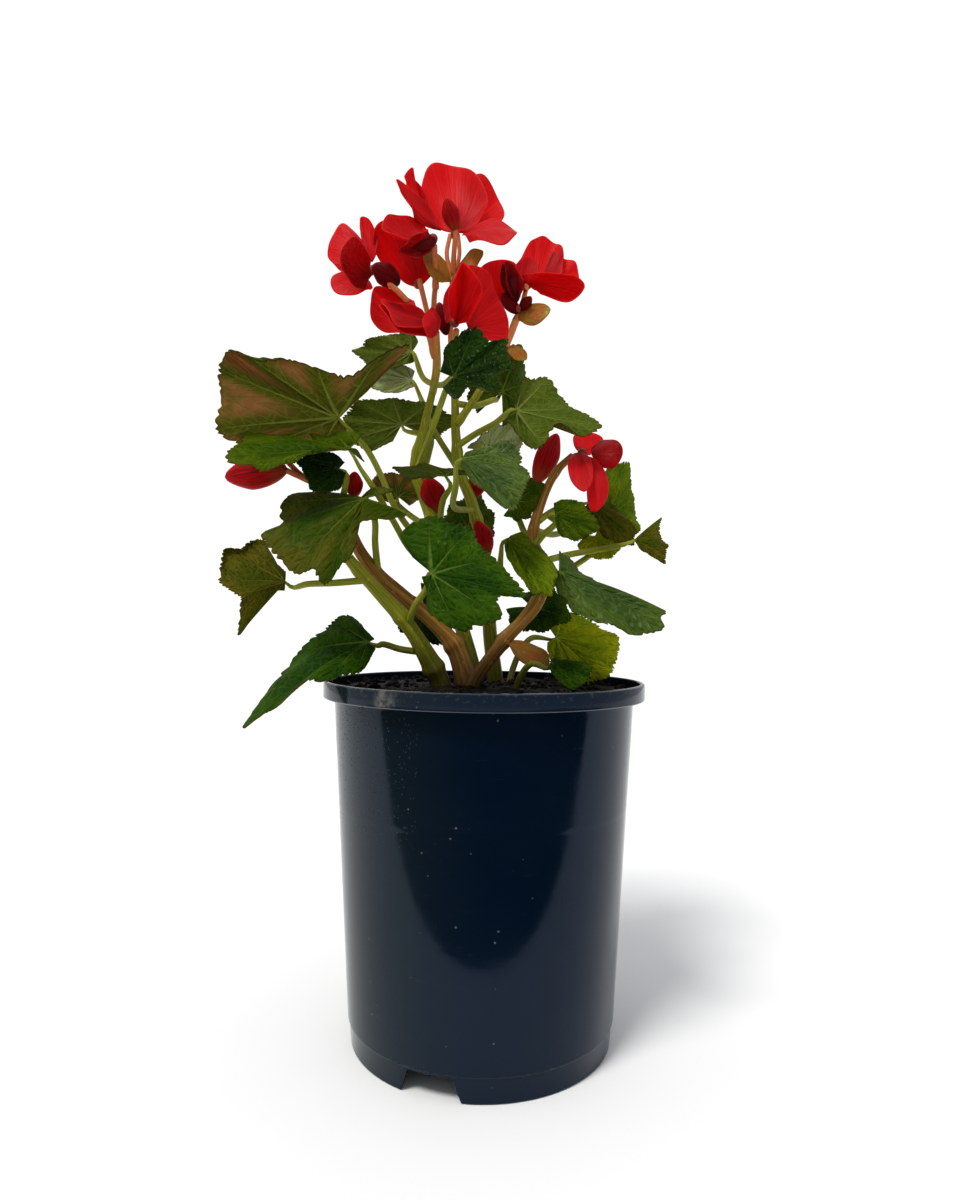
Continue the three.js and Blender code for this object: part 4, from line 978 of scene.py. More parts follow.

# %% [markdown]
# ## The leaves
# Each leaf is its blade and its stalk. The stalk meets the blade from below, so a tube
# runs from the joint, behind the blade, and down to the stem that carries it. A Solidify
# modifier gives the sheet its thickness, and its material offsets put the pale finish on
# the underside. LOOKS says which finishes a leaf has above and below, because old leaves
# are dark, young ones fresh, and those in the sun have turned olive. Two upper finishes are
# lighter copies of the green, which is painted light for leaves in shade, and the palest
# underside is partly painted light.

# %% Leaves
LEAVES = {
    "leaf_upper_left": {
        "joint": (338, 419, -10),
        "face": [0.2, 1, 0.25],
        "bow": 25,
        "stalk": [[-76, -6, 363], [-67, -4, 347], [-57, 0, 325], [-44, 8, 309], [-28, 12, 300]],
        "curl": [0, 0, 0, 0, 0, 0, 0, 0, 0.2, 0.7, 1, 0.6, 0.25, 0.35, 0.3, 0, 0],
        "margin": [
            (351, 428, -10), (343, 438, -12), (325, 443, -18), (300, 446, -26), (265, 447, -34),
            (232, 444, -40), (214, 428, -46), (216, 396, -50), (217, 368, -50), (221, 347, -46),
            (250, 357, -44), (284, 356, -40), (318, 368, -34), (350, 372, -26), (384, 352, -14),
            (412, 343, -4), (368, 390, -2),
        ],
    },
    "leaf_top_back": {
        "form": "small",
        "joint": (411, 352, 45),
        "face": [0.1, 1, 0.5],
        "stalk": [[-44, 38, 422], [-32, 28, 414], [-22, 6, 413]],
        "margin": [
            (416, 360, 45), (404, 366, 46), (385, 368, 50), (366, 364, 56), (352, 352, 62),
            (364, 341, 60), (385, 334, 54), (410, 331, 48), (419, 342, 46),
        ],
    },
    "leaf_left_bright": {
        "joint": (349, 449, -36),
        "face": [0, -0.4, 1],
        "bow": 10,
        "stalk": [[-76, -30, 346], [-68, -22, 334], [-58, -10, 317], [-47, 2, 299], [-24, 13, 282]],
        "curl": [0, 0, 0, -0.3, -0.4, -0.3, -0.2, 0, 0, 0, 0.3, 0.4, 0.3, 0.2, 0, 0, 0],
        "margin": [
            (362, 440, -26), (350, 430, -22), (333, 431, -18), (315, 440, -16), (296, 446, -16),
            (275, 442, -20), (252, 432, -26), (233, 445, -40), (226, 463, -52), (241, 466, -58),
            (262, 461, -60), (283, 461, -62), (300, 458, -60), (316, 449, -56), (332, 446, -52),
            (352, 452, -46), (365, 463, -40),
        ],
    },
    "leaf_left_small": {
        "form": "small",
        "joint": (338, 470, -30),
        "face": [-0.2, -0.8, 0.5],
        "stalk": [[-87, -22, 332], [-90, -17, 328], [-92, -13, 325]],
        "margin": [
            (345, 462, -26), (330, 452, -24), (310, 452, -26), (296, 462, -32), (304, 478, -40),
            (310, 490, -44), (324, 495, -46), (340, 488, -40), (346, 474, -32),
        ],
    },
    "leaf_left_roof": {
        "joint": (366, 498, -35),
        "face": [0, -0.8, 0.6],
        "bow": 10,
        "stalk": [[-67, -27, 314], [-68, -18, 302], [-67, -9, 284]],
        "margin": [
            (396, 492, -34), (374, 486, -26), (352, 506, -18), (336, 503, -12), (318, 493, -8),
            (298, 494, -10), (281, 506, -18), (274, 528, -32), (261, 538, -46), (270, 558, -54),
            (292, 571, -60), (309, 578, -64), (324, 585, -66), (338, 572, -62), (353, 553, -56),
            (363, 525, -46), (408, 513, -38),
        ],
    },
    "leaf_far_left": {
        "joint": (286, 582, -25),
        "face": [-0.1, -0.75, 0.6],
        "stalk": [[-108, -25, 276], [-92, -24, 277], [-72, -23, 279]],
        "curl": [0, 0, 0, -0.2, -0.5, -0.6, -0.6, -0.4, 0, 0, 0, 0, 0.3, 0, 0, 0, 0],
        "margin": [
            (286, 572, -20), (276, 563, -18), (264, 556, -14), (262, 542, -10), (250, 545, -12),
            (238, 552, -16), (224, 553, -24), (217, 568, -34), (219, 583, -42), (228, 592, -46),
            (240, 598, -46), (237, 613, -44), (239, 633, -40), (249, 617, -36), (260, 601, -32),
            (272, 592, -28), (284, 590, -26),
        ],
    },
    "leaf_low_left": {
        "joint": (368, 642, -26),
        "face": [-0.5, -0.47, 0.7],
        "stalk": [[-62, -17, 240], [-52, -13, 237], [-37, -11, 235]],
        "margin": [
            (375, 640, -22), (366, 631, -18), (358, 621, -14), (346, 616, -10), (332, 620, -8),
            (318, 634, -10), (298, 655, -16), (270, 682, -28), (243, 730, -48), (262, 716, -50),
            (283, 699, -54), (304, 686, -56), (324, 680, -54), (342, 680, -50), (357, 674, -44),
            (370, 662, -34), (377, 650, -28),
        ],
    },
    "leaf_top_centre": {
        "joint": (453, 377, -45),
        "face": [0, -1, 0.15],
        "bow": -10,
        "stalk": [[-25, -30, 394], [-35, -12, 372], [-45, 5, 350]],
        "margin": [
            (443, 388, -43), (448, 396, -46), (456, 399, -50), (468, 389, -56), (482, 388, -60),
            (492, 394, -64), (502, 389, -66), (504, 373, -64), (517, 367, -64), (511, 353, -60),
            (508, 338, -56), (492, 338, -54), (476, 326, -50), (461, 332, -48), (446, 346, -44),
            (443, 359, -42), (441, 372, -42),
        ],
    },
    "leaf_right_upper": {
        "joint": (516, 411, -15),
        "face": [0.05, 0.95, 0.3],
        "bow": 10,
        "stalk": [[6, -8, 380], [-7, 2, 375], [-20, 10, 368]],
        "margin": [
            (515, 402, -12), (519, 392, -8), (523, 380, -5), (535, 375, -3), (549, 378, -4),
            (563, 393, -8), (574, 409, -12), (592, 414, -18), (603, 427, -26), (588, 436, -30),
            (571, 429, -30), (558, 428, -30), (543, 446, -30), (531, 449, -28), (520, 437, -24),
            (512, 428, -20), (507, 419, -16),
        ],
    },
    "leaf_centre_right": {
        "joint": (463, 459, -55),
        "face": [0.3, -0.7, 0.6],
        "stalk": [[-18, -42, 334], [-20, -20, 325], [-8, 17, 328]],
        "margin": [
            (461, 465, -52), (466, 472, -56), (471, 481, -62), (479, 489, -66), (488, 496, -70),
            (497, 503, -76), (508, 511, -80), (519, 514, -82), (521, 499, -80), (529, 489, -78),
            (531, 476, -72), (524, 466, -66), (520, 452, -60), (512, 443, -54), (499, 446, -50),
            (483, 449, -48), (467, 453, -50),
        ],
    },
    "leaf_front": {
        "joint": (433, 574, -60),
        "face": [0, -1, 0.15],
        "stalk": [[-33, -50, 275], [-42, -32, 263], [-47, -15, 252]],
        "margin": [
            (423, 577, -60), (426, 594, -60), (427, 610, -62), (440, 624, -66), (460, 632, -72),
            (480, 630, -78), (502, 618, -82), (503, 598, -80), (528, 597, -84), (517, 578, -80),
            (496, 558, -76), (482, 543, -70), (472, 527, -64), (452, 519, -60), (430, 516, -56),
            (398, 530, -52), (411, 557, -56),
        ],
    },
    "leaf_front_right": {
        "joint": (509, 539, -42),
        "face": [0.4, -0.6, 0.8],
        "stalk": [[9, -40, 294], [8, -20, 280], [3, 22, 262]],
        "margin": [
            (504, 541, -42), (505, 549, -45), (507, 557, -50), (512, 566, -56), (518, 576, -62),
            (526, 586, -67), (535, 594, -72), (544, 600, -75), (553, 596, -76), (558, 585, -72),
            (559, 572, -66), (554, 562, -60), (546, 553, -52), (538, 545, -45), (529, 538, -40),
            (520, 535, -38), (511, 534, -40),
        ],
    },
    "leaf_long_right": {
        "joint": (559, 572, -40),
        "face": [0.5, -0.3, 0.8],
        "stalk": [[44, -36, 282], [39, -28, 276], [33, -19, 270]],
        "margin": [
            (554, 566, -38), (553, 577, -42), (556, 588, -46), (564, 602, -52), (576, 613, -56),
            (590, 621, -58), (612, 629, -60), (640, 636, -60), (663, 630, -58), (669, 618, -54),
            (660, 614, -50), (643, 612, -44), (622, 600, -36), (603, 587, -30), (586, 576, -26),
            (572, 561, -26), (559, 551, -30),
        ],
    },
    "leaf_right_small": {
        "form": "small",
        "joint": (556, 514, -26),
        "face": [0.2, -0.95, 0.3],
        "stalk": [[43, -20, 316], [36, -14, 309], [31, -8, 303]],
        "margin": [
            (555, 524, -28), (561, 537, -32), (577, 542, -38), (590, 537, -42), (601, 529, -44),
            (596, 518, -40), (581, 502, -32), (564, 499, -26), (554, 503, -24),
        ],
    },
    "leaf_right_behind": {
        "form": "small",
        "joint": (594, 537, 24),
        "face": [0.1, -0.9, 0.4],
        "stalk": [[52, 24, 314], [44, 14, 312], [32, -6, 312]],
        "margin": [
            (583, 538, 24), (577, 546, 22), (586, 557, 20), (600, 560, 18), (612, 558, 18),
            (621, 548, 20), (620, 537, 24), (610, 530, 28), (598, 528, 28),
        ],
    },
    "leaf_right_bright": {
        "form": "small",
        "joint": (607, 518, 32),
        "face": [0.3, -0.8, 0.2],
        "stalk": [[76, 30, 306], [56, 24, 290], [36, -8, 280]],
        "margin": [
            (596, 528, 34), (612, 541, 36), (630, 539, 38), (641, 529, 42), (633, 497, 46),
            (632, 480, 48), (627, 461, 48), (608, 467, 42), (598, 495, 36),
        ],
    },
    "leaf_right_grey": {
        "joint": (588, 503, 12),
        "face": [0.5, 0.5, 0.7],
        "stalk": [[52, 6, 330], [42, 0, 325], [33, -6, 318]],
        "margin": [
            (584, 510, 14), (594, 522, 8), (606, 538, 4), (622, 547, 4), (634, 545, 6),
            (636, 530, 10), (620, 511, 14), (604, 499, 18), (590, 497, 16),
        ],
    },
    "leaf_right_tip": {
        "form": "small",
        "joint": (634, 541, -4),
        "face": [0.3, 0.7, 0.5],
        "stalk": [[76, 4, 302], [54, 2, 298], [34, -10, 292]],
        "margin": [
            (640, 549, -6), (650, 556, -8), (666, 564, -8), (667, 554, -6), (669, 545, -4),
            (660, 535, 2), (662, 518, 8), (652, 536, 4), (642, 536, 0),
        ],
    },
    "leaf_low_right": {
        "form": "small",
        "joint": (556, 638, 36),
        "face": [-0.1, -0.8, 0.4],
        "stalk": [[32, 28, 244], [23, 18, 234], [16, 8, 214], [15, 6, 196]],
        "margin": [
            (547, 643, 34), (548, 655, 35), (553, 665, 37), (562, 674, 39), (575, 680, 41),
            (590, 684, 43), (604, 681, 45), (617, 672, 46), (617, 660, 46), (622, 648, 47),
            (618, 636, 48), (607, 629, 47), (592, 621, 46), (578, 614, 44), (565, 612, 41),
            (555, 616, 38), (547, 626, 36),
        ],
    },
    "leaf_soil_right": {
        "form": "small",
        "joint": (552, 662, -42),
        "face": [-0.1, -0.5, 0.8],
        "stalk": [[28, -35, 230], [20, -28, 218], [17, -26, 196]],
        "margin": [
            (549, 667, -44), (556, 680, -50), (572, 690, -56), (585, 686, -58), (592, 672, -56),
            (588, 664, -50), (570, 662, -42), (558, 659, -38), (549, 660, -38),
        ],
    },
    "leaf_dark_right": {
        "form": "small",
        "at": [30, 4, 264],
        "tip": [54, -10, 256],
        "face": [0, -0.8, 0.5],
        "lift": [0, -10, 0, 0, 0, 0, 0, -10, 0],
        "stalk": [[22, 8, 256], [12, 18, 246], [4, 22, 240]],
    },
    "leaf_left_inner": {
        "form": "small",
        "joint": (398, 497, 14),
        "face": [0.1, -0.9, 0.4],
        "stalk": [[-40, 16, 318], [-34, 11, 317]],
        "margin": [
            (392, 504, 14), (378, 499, 10), (370, 484, 6), (378, 474, 4), (393, 472, 4),
            (408, 476, 6), (421, 486, 8), (424, 496, 12), (410, 506, 16),
        ],
    },
    "leaf_behind_stems": {
        "form": "small",
        "joint": (412, 380, 50),
        "face": [0.1, 0.8, 0.6],
        "stalk": [[-46, 46, 410], [-36, 26, 384], [-17, 12, 352]],
        "margin": [
            (415, 386, 50), (405, 391, 52), (390, 394, 56), (374, 390, 60), (363, 380, 64),
            (368, 370, 64), (384, 366, 60), (402, 364, 56), (415, 370, 50),
        ],
    },
    "leaf_back_left": {
        "form": "small",
        "joint": (402, 425, 28),
        "face": [0.1, 0.7, 0.7],
        "stalk": [[-38, 24, 378], [-38, 14, 364], [-42, 7, 347]],
        "margin": [
            (392, 442, 26), (368, 452, 22), (348, 440, 18), (342, 418, 18), (356, 400, 20),
            (392, 398, 28), (430, 402, 34), (457, 420, 36), (436, 440, 32),
        ],
    },
    "leaf_back_top": {
        "form": "small",
        "at": [10, 28, 410],
        "tip": [22, 40, 446],
        "face": [0.3, -0.8, 0.2],
        "lift": [-10, -30, -30, -20, 0, -20, -40, -30, -10],
        "stalk": [[4, 20, 402], [-8, 12, 396], [-21, 7, 396]],
    },
    "leaf_back_right": {
        "form": "small",
        "at": [2, 40, 372],
        "tip": [27, 52, 384],
        "face": [0.1, 0.8, 0.5],
        "lift": [0, -20, -20, -10, 0, -10, -20, -20, 0],
        "stalk": [[-4, 22, 372], [-10, 15, 362], [-16, 12, 352]],
    },
    "leaf_inner_right": {
        "form": "small",
        "at": [20, 2, 332],
        "tip": [37, -8, 341],
        "face": [0.1, -0.8, 0.5],
        "lift": [0, -20, -20, 0, 0, 0, -20, -20, 0],
        "stalk": [[21, 8, 322], [25, 4, 312], [30, -4, 304]],
    },
    "leaf_centre_edge": {
        "form": "small",
        "at": [-25, -22, 343],
        "tip": [-56, -38, 345],
        "face": [-0.1, -0.3, 1],
        "lift": [10, 10, -10, -10, 0, 10, 10, 20, 10],
        "stalk": [[-27, -10, 330], [-29, 0, 316], [-28, 12, 303]],
    },
    "leaf_centre_back": {
        "form": "small",
        "at": [-12, 32, 318],
        "tip": [-6, 44, 345],
        "face": [0.1, -0.9, 0.3],
        "lift": [-10, -20, -20, -10, 0, -10, -20, -20, -10],
        "stalk": [[-10, 28, 308], [-6, 24, 298], [-1, 21, 288]],
    },
    "leaf_low_back": {
        "form": "small",
        "at": [-41, 27, 262],
        "tip": [-27, 42, 238],
        "face": [-0.2, -0.8, 0.3],
        "lift": [-10, -10, 0, 0, 0, 0, 0, -10, -10],
        "stalk": [[-34, 22, 266], [-26, 16, 266], [-18, 15, 262]],
    },
}

LOOKS = {
    "leaf_upper_left": ("dark", "blush"),
    "leaf_top_back": ("olive", "green"),
    "leaf_left_bright": ("fresh", "green"),
    "leaf_left_small": ("night", "green"),
    "leaf_left_roof": ("roof", "blush"),
    "leaf_far_left": ("olive", "grey"),
    "leaf_low_left": ("dark", "green"),
    "leaf_top_centre": ("night", "green"),
    "leaf_right_upper": ("olive", "green"),
    "leaf_centre_right": ("sheen", "green"),
    "leaf_front": ("dark", "green"),
    "leaf_front_right": ("lit", "green"),
    "leaf_long_right": ("sheen", "green"),
    "leaf_right_grey": ("olive", "grey"),
    "leaf_right_bright": ("lit", "green"),
    "leaf_right_behind": ("painted_glow", "green"),
    "leaf_right_tip": ("olive", "grey"),
    "leaf_low_right": ("painted_glow", "green"),
    "leaf_soil_right": ("dark", "green"),
    "leaf_dark_right": ("dark", "green"),
    "leaf_left_inner": ("roof", "blush"),
    "leaf_back_left": ("roof", "green"),
    "leaf_behind_stems": ("olive", "pale"),
    "leaf_back_right": ("olive", "pale"),
}
PLAIN_LOOK = ("fresh", "green")
LEAF_THICKNESS = 0.7
STALK_RADII = [0.8, 1.9, 2, 2.1, 2.2]
STALK_SIDES = 12
STALK_BELOW, STALK_BEHIND = 5, 3


def build_leaf(node, plan, seed):
    """One leaf: a blade and its stalk."""
    form = SMALL_LEAF if plan.get("form") == "small" else LEAF
    if "margin" in plan:
        joint = place_of(plan["joint"])
        rim = np.array([place_of(mark) for mark in plan["margin"]])
        tip = rim[len(rim) // 2]
        blade = fan_to_rim(form, joint, rim, seed, plan.get("curl", (0, 0)), plan.get("bow"))
    else:
        joint, tip = np.array(plan["at"], dtype=float), np.array(plan["tip"], dtype=float)
        blade = fan(form, plan, seed)
    points, values, flat_map = blade
    above, below = LOOKS.get(node, PLAIN_LOOK)
    finishes = [UPPER[above], UNDER[below], SKIN["leaf"]]
    sheet = thicken(grow_grid(node, points, finishes, values, flat_map), LEAF_THICKNESS, under=1)
    face = np.array(plan["face"], dtype=float)
    face /= np.linalg.norm(face)
    back = (joint - tip) / np.linalg.norm(joint - tip)
    under = joint - face * STALK_BELOW + back * STALK_BEHIND
    route = [list(joint), list(under)] + plan["stalk"]
    stalk = tube("stalk", route, STALK_RADII, SKIN["leaf"], STALK_SIDES)
    return settle(unite(node + "_grown", [sheet, stalk]), node)


for seed, (node, plan) in enumerate(LEAVES.items()):
    build_leaf(node, plan, seed + 1)
print("leaves:", len(LEAVES))

# %% [markdown]
# ## The flowers
# A flower is a round heart with its petals growing out of it. A petal is a blade with a
# narrow foot and a broad round end, cupped and slightly ruffled. The table holds marks: one
# on the heart, one at each petal's foot and seven round its margin. Petals that are still
# folded shut stand as narrow cups between two marks.

# %% Flowers
BLOOMS = {
    "bloom_top": {
        "heart": (455, 234, 3),
        "petals": [
            {"foot": (456, 233, 2),
             "margin": [(440, 228, 4), (422, 200, 8), (425, 172, 14), (444, 162, 16),
                        (472, 172, 14), (488, 198, 6), (478, 224, 2)]},
            {"foot": (458, 232, 6),
             "margin": [(470, 175, 20), (482, 178, 22), (495, 190, 24), (503, 206, 22),
                        (502, 220, 16), (490, 226, 10), (472, 230, 6)]},
            {"foot": (440, 230, 0),
             "margin": [(414, 220, -4), (408, 204, -8), (401, 190, -10), (396, 179, -12),
                        (412, 190, -4), (428, 205, 2), (438, 220, 2)]},
            {"foot": (438, 225, 6),
             "margin": [(408, 200, 0), (405, 185, 2), (406, 174, 4), (410, 170, 6),
                        (415, 176, 8), (420, 187, 8), (432, 208, 8)]},
            {"foot": (462, 236, -2),
             "margin": [(470, 243, -14), (490, 244, -22), (508, 240, -24), (517, 234, -20),
                        (510, 226, -12), (492, 222, -6), (472, 226, -2)]},
        ],
    },
    "bloom_left": {
        "heart": (371, 271, -24),
        "petals": [
            {"foot": (370, 270, -24),
             "margin": [(362, 240, -16), (350, 228, -16), (338, 228, -18), (330, 242, -20),
                        (329, 258, -22), (338, 270, -24), (352, 275, -26)]},
            {"foot": (372, 262, -20),
             "margin": [(366, 248, -14), (361, 232, -10), (361, 216, -10), (368, 219, -8),
                        (375, 230, -8), (378, 243, -10), (376, 255, -14)]},
            {"foot": (368, 280, -24),
             "margin": [(350, 272, -26), (335, 273, -28), (331, 284, -30), (340, 295, -32),
                        (356, 295, -32), (368, 291, -28), (372, 286, -24)]},
            {"foot": (372, 276, -28), "tone": "deep",
             "margin": [(366, 289, -34), (352, 285, -42), (342, 268, -46), (344, 248, -46),
                        (353, 237, -44), (362, 245, -38), (371, 262, -32)]},
        ],
        "cups": [
            {"from": (400, 285, -18), "to": (372, 265, -27), "thick": 8},
        ],
    },
    "bloom_middle": {
        "heart": (418, 284, -2),
        "petals": [
            {"foot": (420, 287, 0),
             "margin": [(402, 282, -2), (382, 262, -4), (373, 240, -4), (380, 222, -2),
                        (398, 222, 0), (425, 250, 4), (438, 268, 2)]},
            {"foot": (424, 284, 8),
             "margin": [(404, 270, 8), (396, 250, 8), (398, 232, 10), (410, 222, 12),
                        (424, 226, 12), (434, 244, 12), (434, 266, 10)]},
        ],
    },
    "bloom_cupped": {
        "heart": (433, 239, -14),
        "petals": [
            {"foot": (430, 241, -12),
             "margin": [(418, 240, -18), (400, 237, -20), (382, 229, -18), (388, 214, -12),
                        (403, 217, -8), (418, 222, -6), (428, 230, -8)]},
            {"foot": (434, 243, -14), "tone": "deep",
             "margin": [(430, 252, -18), (420, 257, -24), (408, 256, -30), (402, 249, -32),
                        (410, 240, -32), (420, 233, -28), (430, 231, -20)]},
        ],
        "cups": [
            {"from": (436, 238, -13), "to": (404, 250, -27), "thick": 7},
        ],
    },
    "bloom_lower_left": {
        "heart": (433, 325, -36),
        "petals": [
            {"foot": (425, 320, -30),
             "margin": [(400, 334, -30), (384, 332, -30), (372, 318, -28), (370, 302, -26),
                        (376, 287, -22), (394, 290, -20), (414, 300, -22)]},
            {"foot": (434, 327, -38),
             "margin": [(434, 337, -40), (418, 336, -50), (402, 330, -54), (388, 318, -52),
                        (380, 304, -46), (396, 302, -42), (420, 308, -38)]},
            {"foot": (432, 320, -42),
             "margin": [(425, 328, -50), (408, 327, -56), (394, 320, -58), (384, 308, -54),
                        (382, 300, -46), (402, 302, -44), (422, 309, -42)]},
            {"foot": (437, 314, -42),
             "margin": [(430, 308, -46), (424, 318, -54), (424, 330, -56), (430, 338, -52),
                        (437, 334, -48), (440, 324, -44), (439, 316, -42)]},
        ],
    },
    "bloom_front": {
        "heart": (455, 323, -38),
        "petals": [
            {"foot": (456, 324, -40),
             "margin": [(450, 316, -44), (449, 295, -50), (455, 276, -54), (463, 262, -52),
                        (474, 272, -54), (481, 292, -52), (468, 322, -46)]},
            {"foot": (468, 328, -36),
             "margin": [(458, 270, -42), (472, 266, -38), (488, 274, -34), (499, 296, -30),
                        (509, 325, -28), (505, 344, -30), (485, 337, -34)]},
            {"foot": (447, 324, -36),
             "margin": [(443, 318, -34), (443, 306, -34), (446, 292, -34), (451, 284, -34),
                        (455, 290, -36), (454, 305, -38), (451, 318, -38)]},
        ],
        "cups": [
            {"from": (447, 336, -30), "to": (439, 302, -31), "thick": 5},
        ],
    },
    "bloom_right": {
        "heart": (528, 282, 1),
        "petals": [
            {"foot": (535, 290, 0),
             "margin": [(516, 267, 6), (523, 253, 10), (532, 240, 12), (544, 237, 14),
                        (557, 243, 14), (564, 256, 12), (562, 272, 8)]},
            {"foot": (540, 285, 4),
             "margin": [(553, 250, 14), (563, 258, 16), (574, 264, 16), (580, 276, 14),
                        (575, 283, 10), (562, 288, 4), (550, 288, 2)]},
            {"foot": (527, 284, -6),
             "margin": [(521, 276, -10), (540, 272, -16), (560, 273, -20), (576, 277, -22),
                        (584, 288, -20), (568, 302, -16), (540, 294, -10)]},
            {"foot": (526, 292, -4),
             "margin": [(520, 285, -6), (515, 272, -4), (518, 262, 0), (528, 258, 4),
                        (538, 262, 4), (538, 275, 2), (532, 286, 0)]},
            {"foot": (500, 308, 0),
             "margin": [(482, 300, -8), (477, 280, -4), (480, 268, 0), (492, 261, 2),
                        (505, 260, 4), (517, 266, 4), (512, 288, 2)]},
        ],
    },
    "bloom_right_cup": {
        "heart": (517, 308, -12),
        "petals": [
            {"foot": (517, 302, -16), "tone": "deep",
             "margin": [(509, 292, -22), (506, 278, -24), (505, 262, -22), (513, 266, -20),
                        (520, 276, -16), (523, 287, -14), (521, 297, -14)]},
        ],
        "cups": [
            {"from": (517, 303, -14), "to": (504, 263, -18), "thick": 6},
            {"from": (519, 313, -12), "to": (501, 294, -16), "thick": 5},
            {"from": (520, 311, -12), "to": (532, 297, -14), "thick": 4},
        ],
    },
    "bloom_hanging": {
        "heart": (582, 453, -1),
        "petals": [
            {"foot": (580, 453, -4),
             "margin": [(570, 455, -8), (567, 468, -14), (572, 482, -18), (584, 492, -20),
                        (592, 480, -20), (592, 464, -14), (587, 454, -8)]},
            {"foot": (588, 456, -8),
             "margin": [(585, 470, -16), (587, 490, -20), (594, 511, -20), (602, 506, -18),
                        (609, 491, -16), (605, 472, -12), (597, 461, -8)]},
            {"foot": (580, 452, 0),
             "margin": [(574, 446, 6), (574, 436, 8), (582, 432, 10), (592, 433, 10),
                        (603, 437, 8), (602, 448, 4), (590, 454, 0)]},
            {"foot": (592, 456, -2), "tone": "deep",
             "margin": [(600, 468, -6), (612, 469, -8), (621, 459, -8), (621, 446, -6),
                        (612, 440, -2), (600, 441, 2), (592, 448, 2)]},
        ],
    },
}

HEART_RADIUS = 3
PETAL_THICKNESS = 0.6
PETAL_CUPPING = 1.5
FIRST_FLOWER_SEED, SEEDS_PER_FLOWER = 50, 10
DROP_SIDES, DROP_ROWS = 40, 28
CREASE_DEPTH, CREASE_WIDTH = 0.22, 0.04
TAPER_START, TAPER = 0.6, 0.35
FLATNESS = 0.6
TOWARDS_CAMERA = (0, -1, 0)


def drop(name, plan, finish):
    """A flattened drop with a crease along both edges, from its foot to its tip."""
    base, tip = np.array(plan["from"], dtype=float), np.array(plan["to"], dtype=float)
    along = tip - base
    length = np.linalg.norm(along)
    along /= length
    up = square_to(along, TOWARDS_CAMERA)
    across = np.cross(along, up)
    angle = np.linspace(0, 2 * math.pi, DROP_SIDES + 1)
    rows = np.linspace(0, 1, DROP_ROWS + 1)
    belly = (0.75 + 0.45 * rows - 0.25 * rows ** 2) * np.sqrt(np.maximum(0, 1 - (2 * rows - 1) ** 2))
    belly = belly * (1 - TAPER * np.maximum(0, rows - TAPER_START) / (1 - TAPER_START))
    crease = 1 - CREASE_DEPTH * np.exp(-((np.abs(np.cos(angle)) - 1) / CREASE_WIDTH) ** 2)
    width = np.cos(angle)[:, None] * belly * plan["thick"]
    depth = (np.sin(angle) * crease)[:, None] * belly * plan["thick"] * plan.get("flat", FLATNESS)
    points = base + along * (rows * length)[None, :, None] + across * width[..., None]
    points = points + up * depth[..., None]
    points[-1] = points[0]
    return face_outwards(grow_grid(name, points, [finish]))


def petal_margin(petal):
    """The places round a petal, cupped by a factor beyond the depths that were judged."""
    foot_back = petal["foot"][2]
    return np.array([place_of((across, down, foot_back + PETAL_CUPPING * (back - foot_back)))
                     for across, down, back in petal["margin"]])


def build_flower(node, plan, seed):
    """One flower: a heart, its petals and the closed petals that stand with them."""
    deselect()
    bpy.ops.mesh.primitive_uv_sphere_add(segments=20, ring_count=12, radius=HEART_RADIUS * MM,
                                         location=to_metres(place_of(plan["heart"])))
    middle = bpy.context.object
    bpy.ops.object.transform_apply(location=True, rotation=True, scale=True)
    middle.data.materials.append(HEART)
    bpy.ops.object.shade_smooth()
    parts = [middle]
    for number, petal in enumerate(plan["petals"]):
        petal_seed = seed * SEEDS_PER_FLOWER + number
        points, _, _ = fan_to_rim(PETAL, place_of(petal["foot"]), petal_margin(petal), petal_seed)
        # Petals marked deep, and the closed petals below, take the darker red of painted shade
        finish = SHADED_RED if petal.get("tone") == "deep" else RED
        parts.append(thicken(grow_grid("petal", points, [finish]), PETAL_THICKNESS))
    for cup in plan.get("cups", []):
        ends = {"from": place_of(cup["from"]), "to": place_of(cup["to"])}
        parts.append(drop("cup", {**cup, **ends}, SHADED_RED))
    return settle(unite(node + "_grown", parts), node)


for seed, (node, plan) in enumerate(BLOOMS.items()):
    build_flower(node, plan, seed + FIRST_FLOWER_SEED)
print("flowers:", len(BLOOMS))

# %% [markdown]
# ## The buds
# A closed bud is two petals pressed face to face, so it is flat, with a crease where their
# edges meet. It is the same flattened drop as the closed petals of a flower.

# %% Buds
BUDS = {
    "bud_top": {"from": [-21, -9, 501], "to": [-27, -18, 518], "thick": 6},
    "bud_left": {"from": [-122, -20, 347], "to": [-160, -22, 341], "thick": 11, "flat": 0.75},
    "bud_left_back": {"from": [-121, -13, 359], "to": [-146, -5, 375], "thick": 9},
    "bud_left_inner": {"from": [-82, -15, 330], "to": [-81, -19, 346], "thick": 6},
    "bud_centre": {"from": [-30, 10, 325], "to": [-38, 2, 347], "thick": 9},
    "bud_centre_back": {"from": [-10, 20, 336], "to": [-3, 13, 352], "thick": 7},
    "bud_right_back": {"from": [34, 35, 349], "to": [49, 40, 385], "thick": 9},
    "bud_low_centre": {"from": [3, 16, 300], "to": [-6, 9, 320], "thick": 7},
}

for node, plan in BUDS.items():
    settle(unite(node + "_grown", [drop(node, plan, BUD_RED)]), node)
print("buds:", len(BUDS))
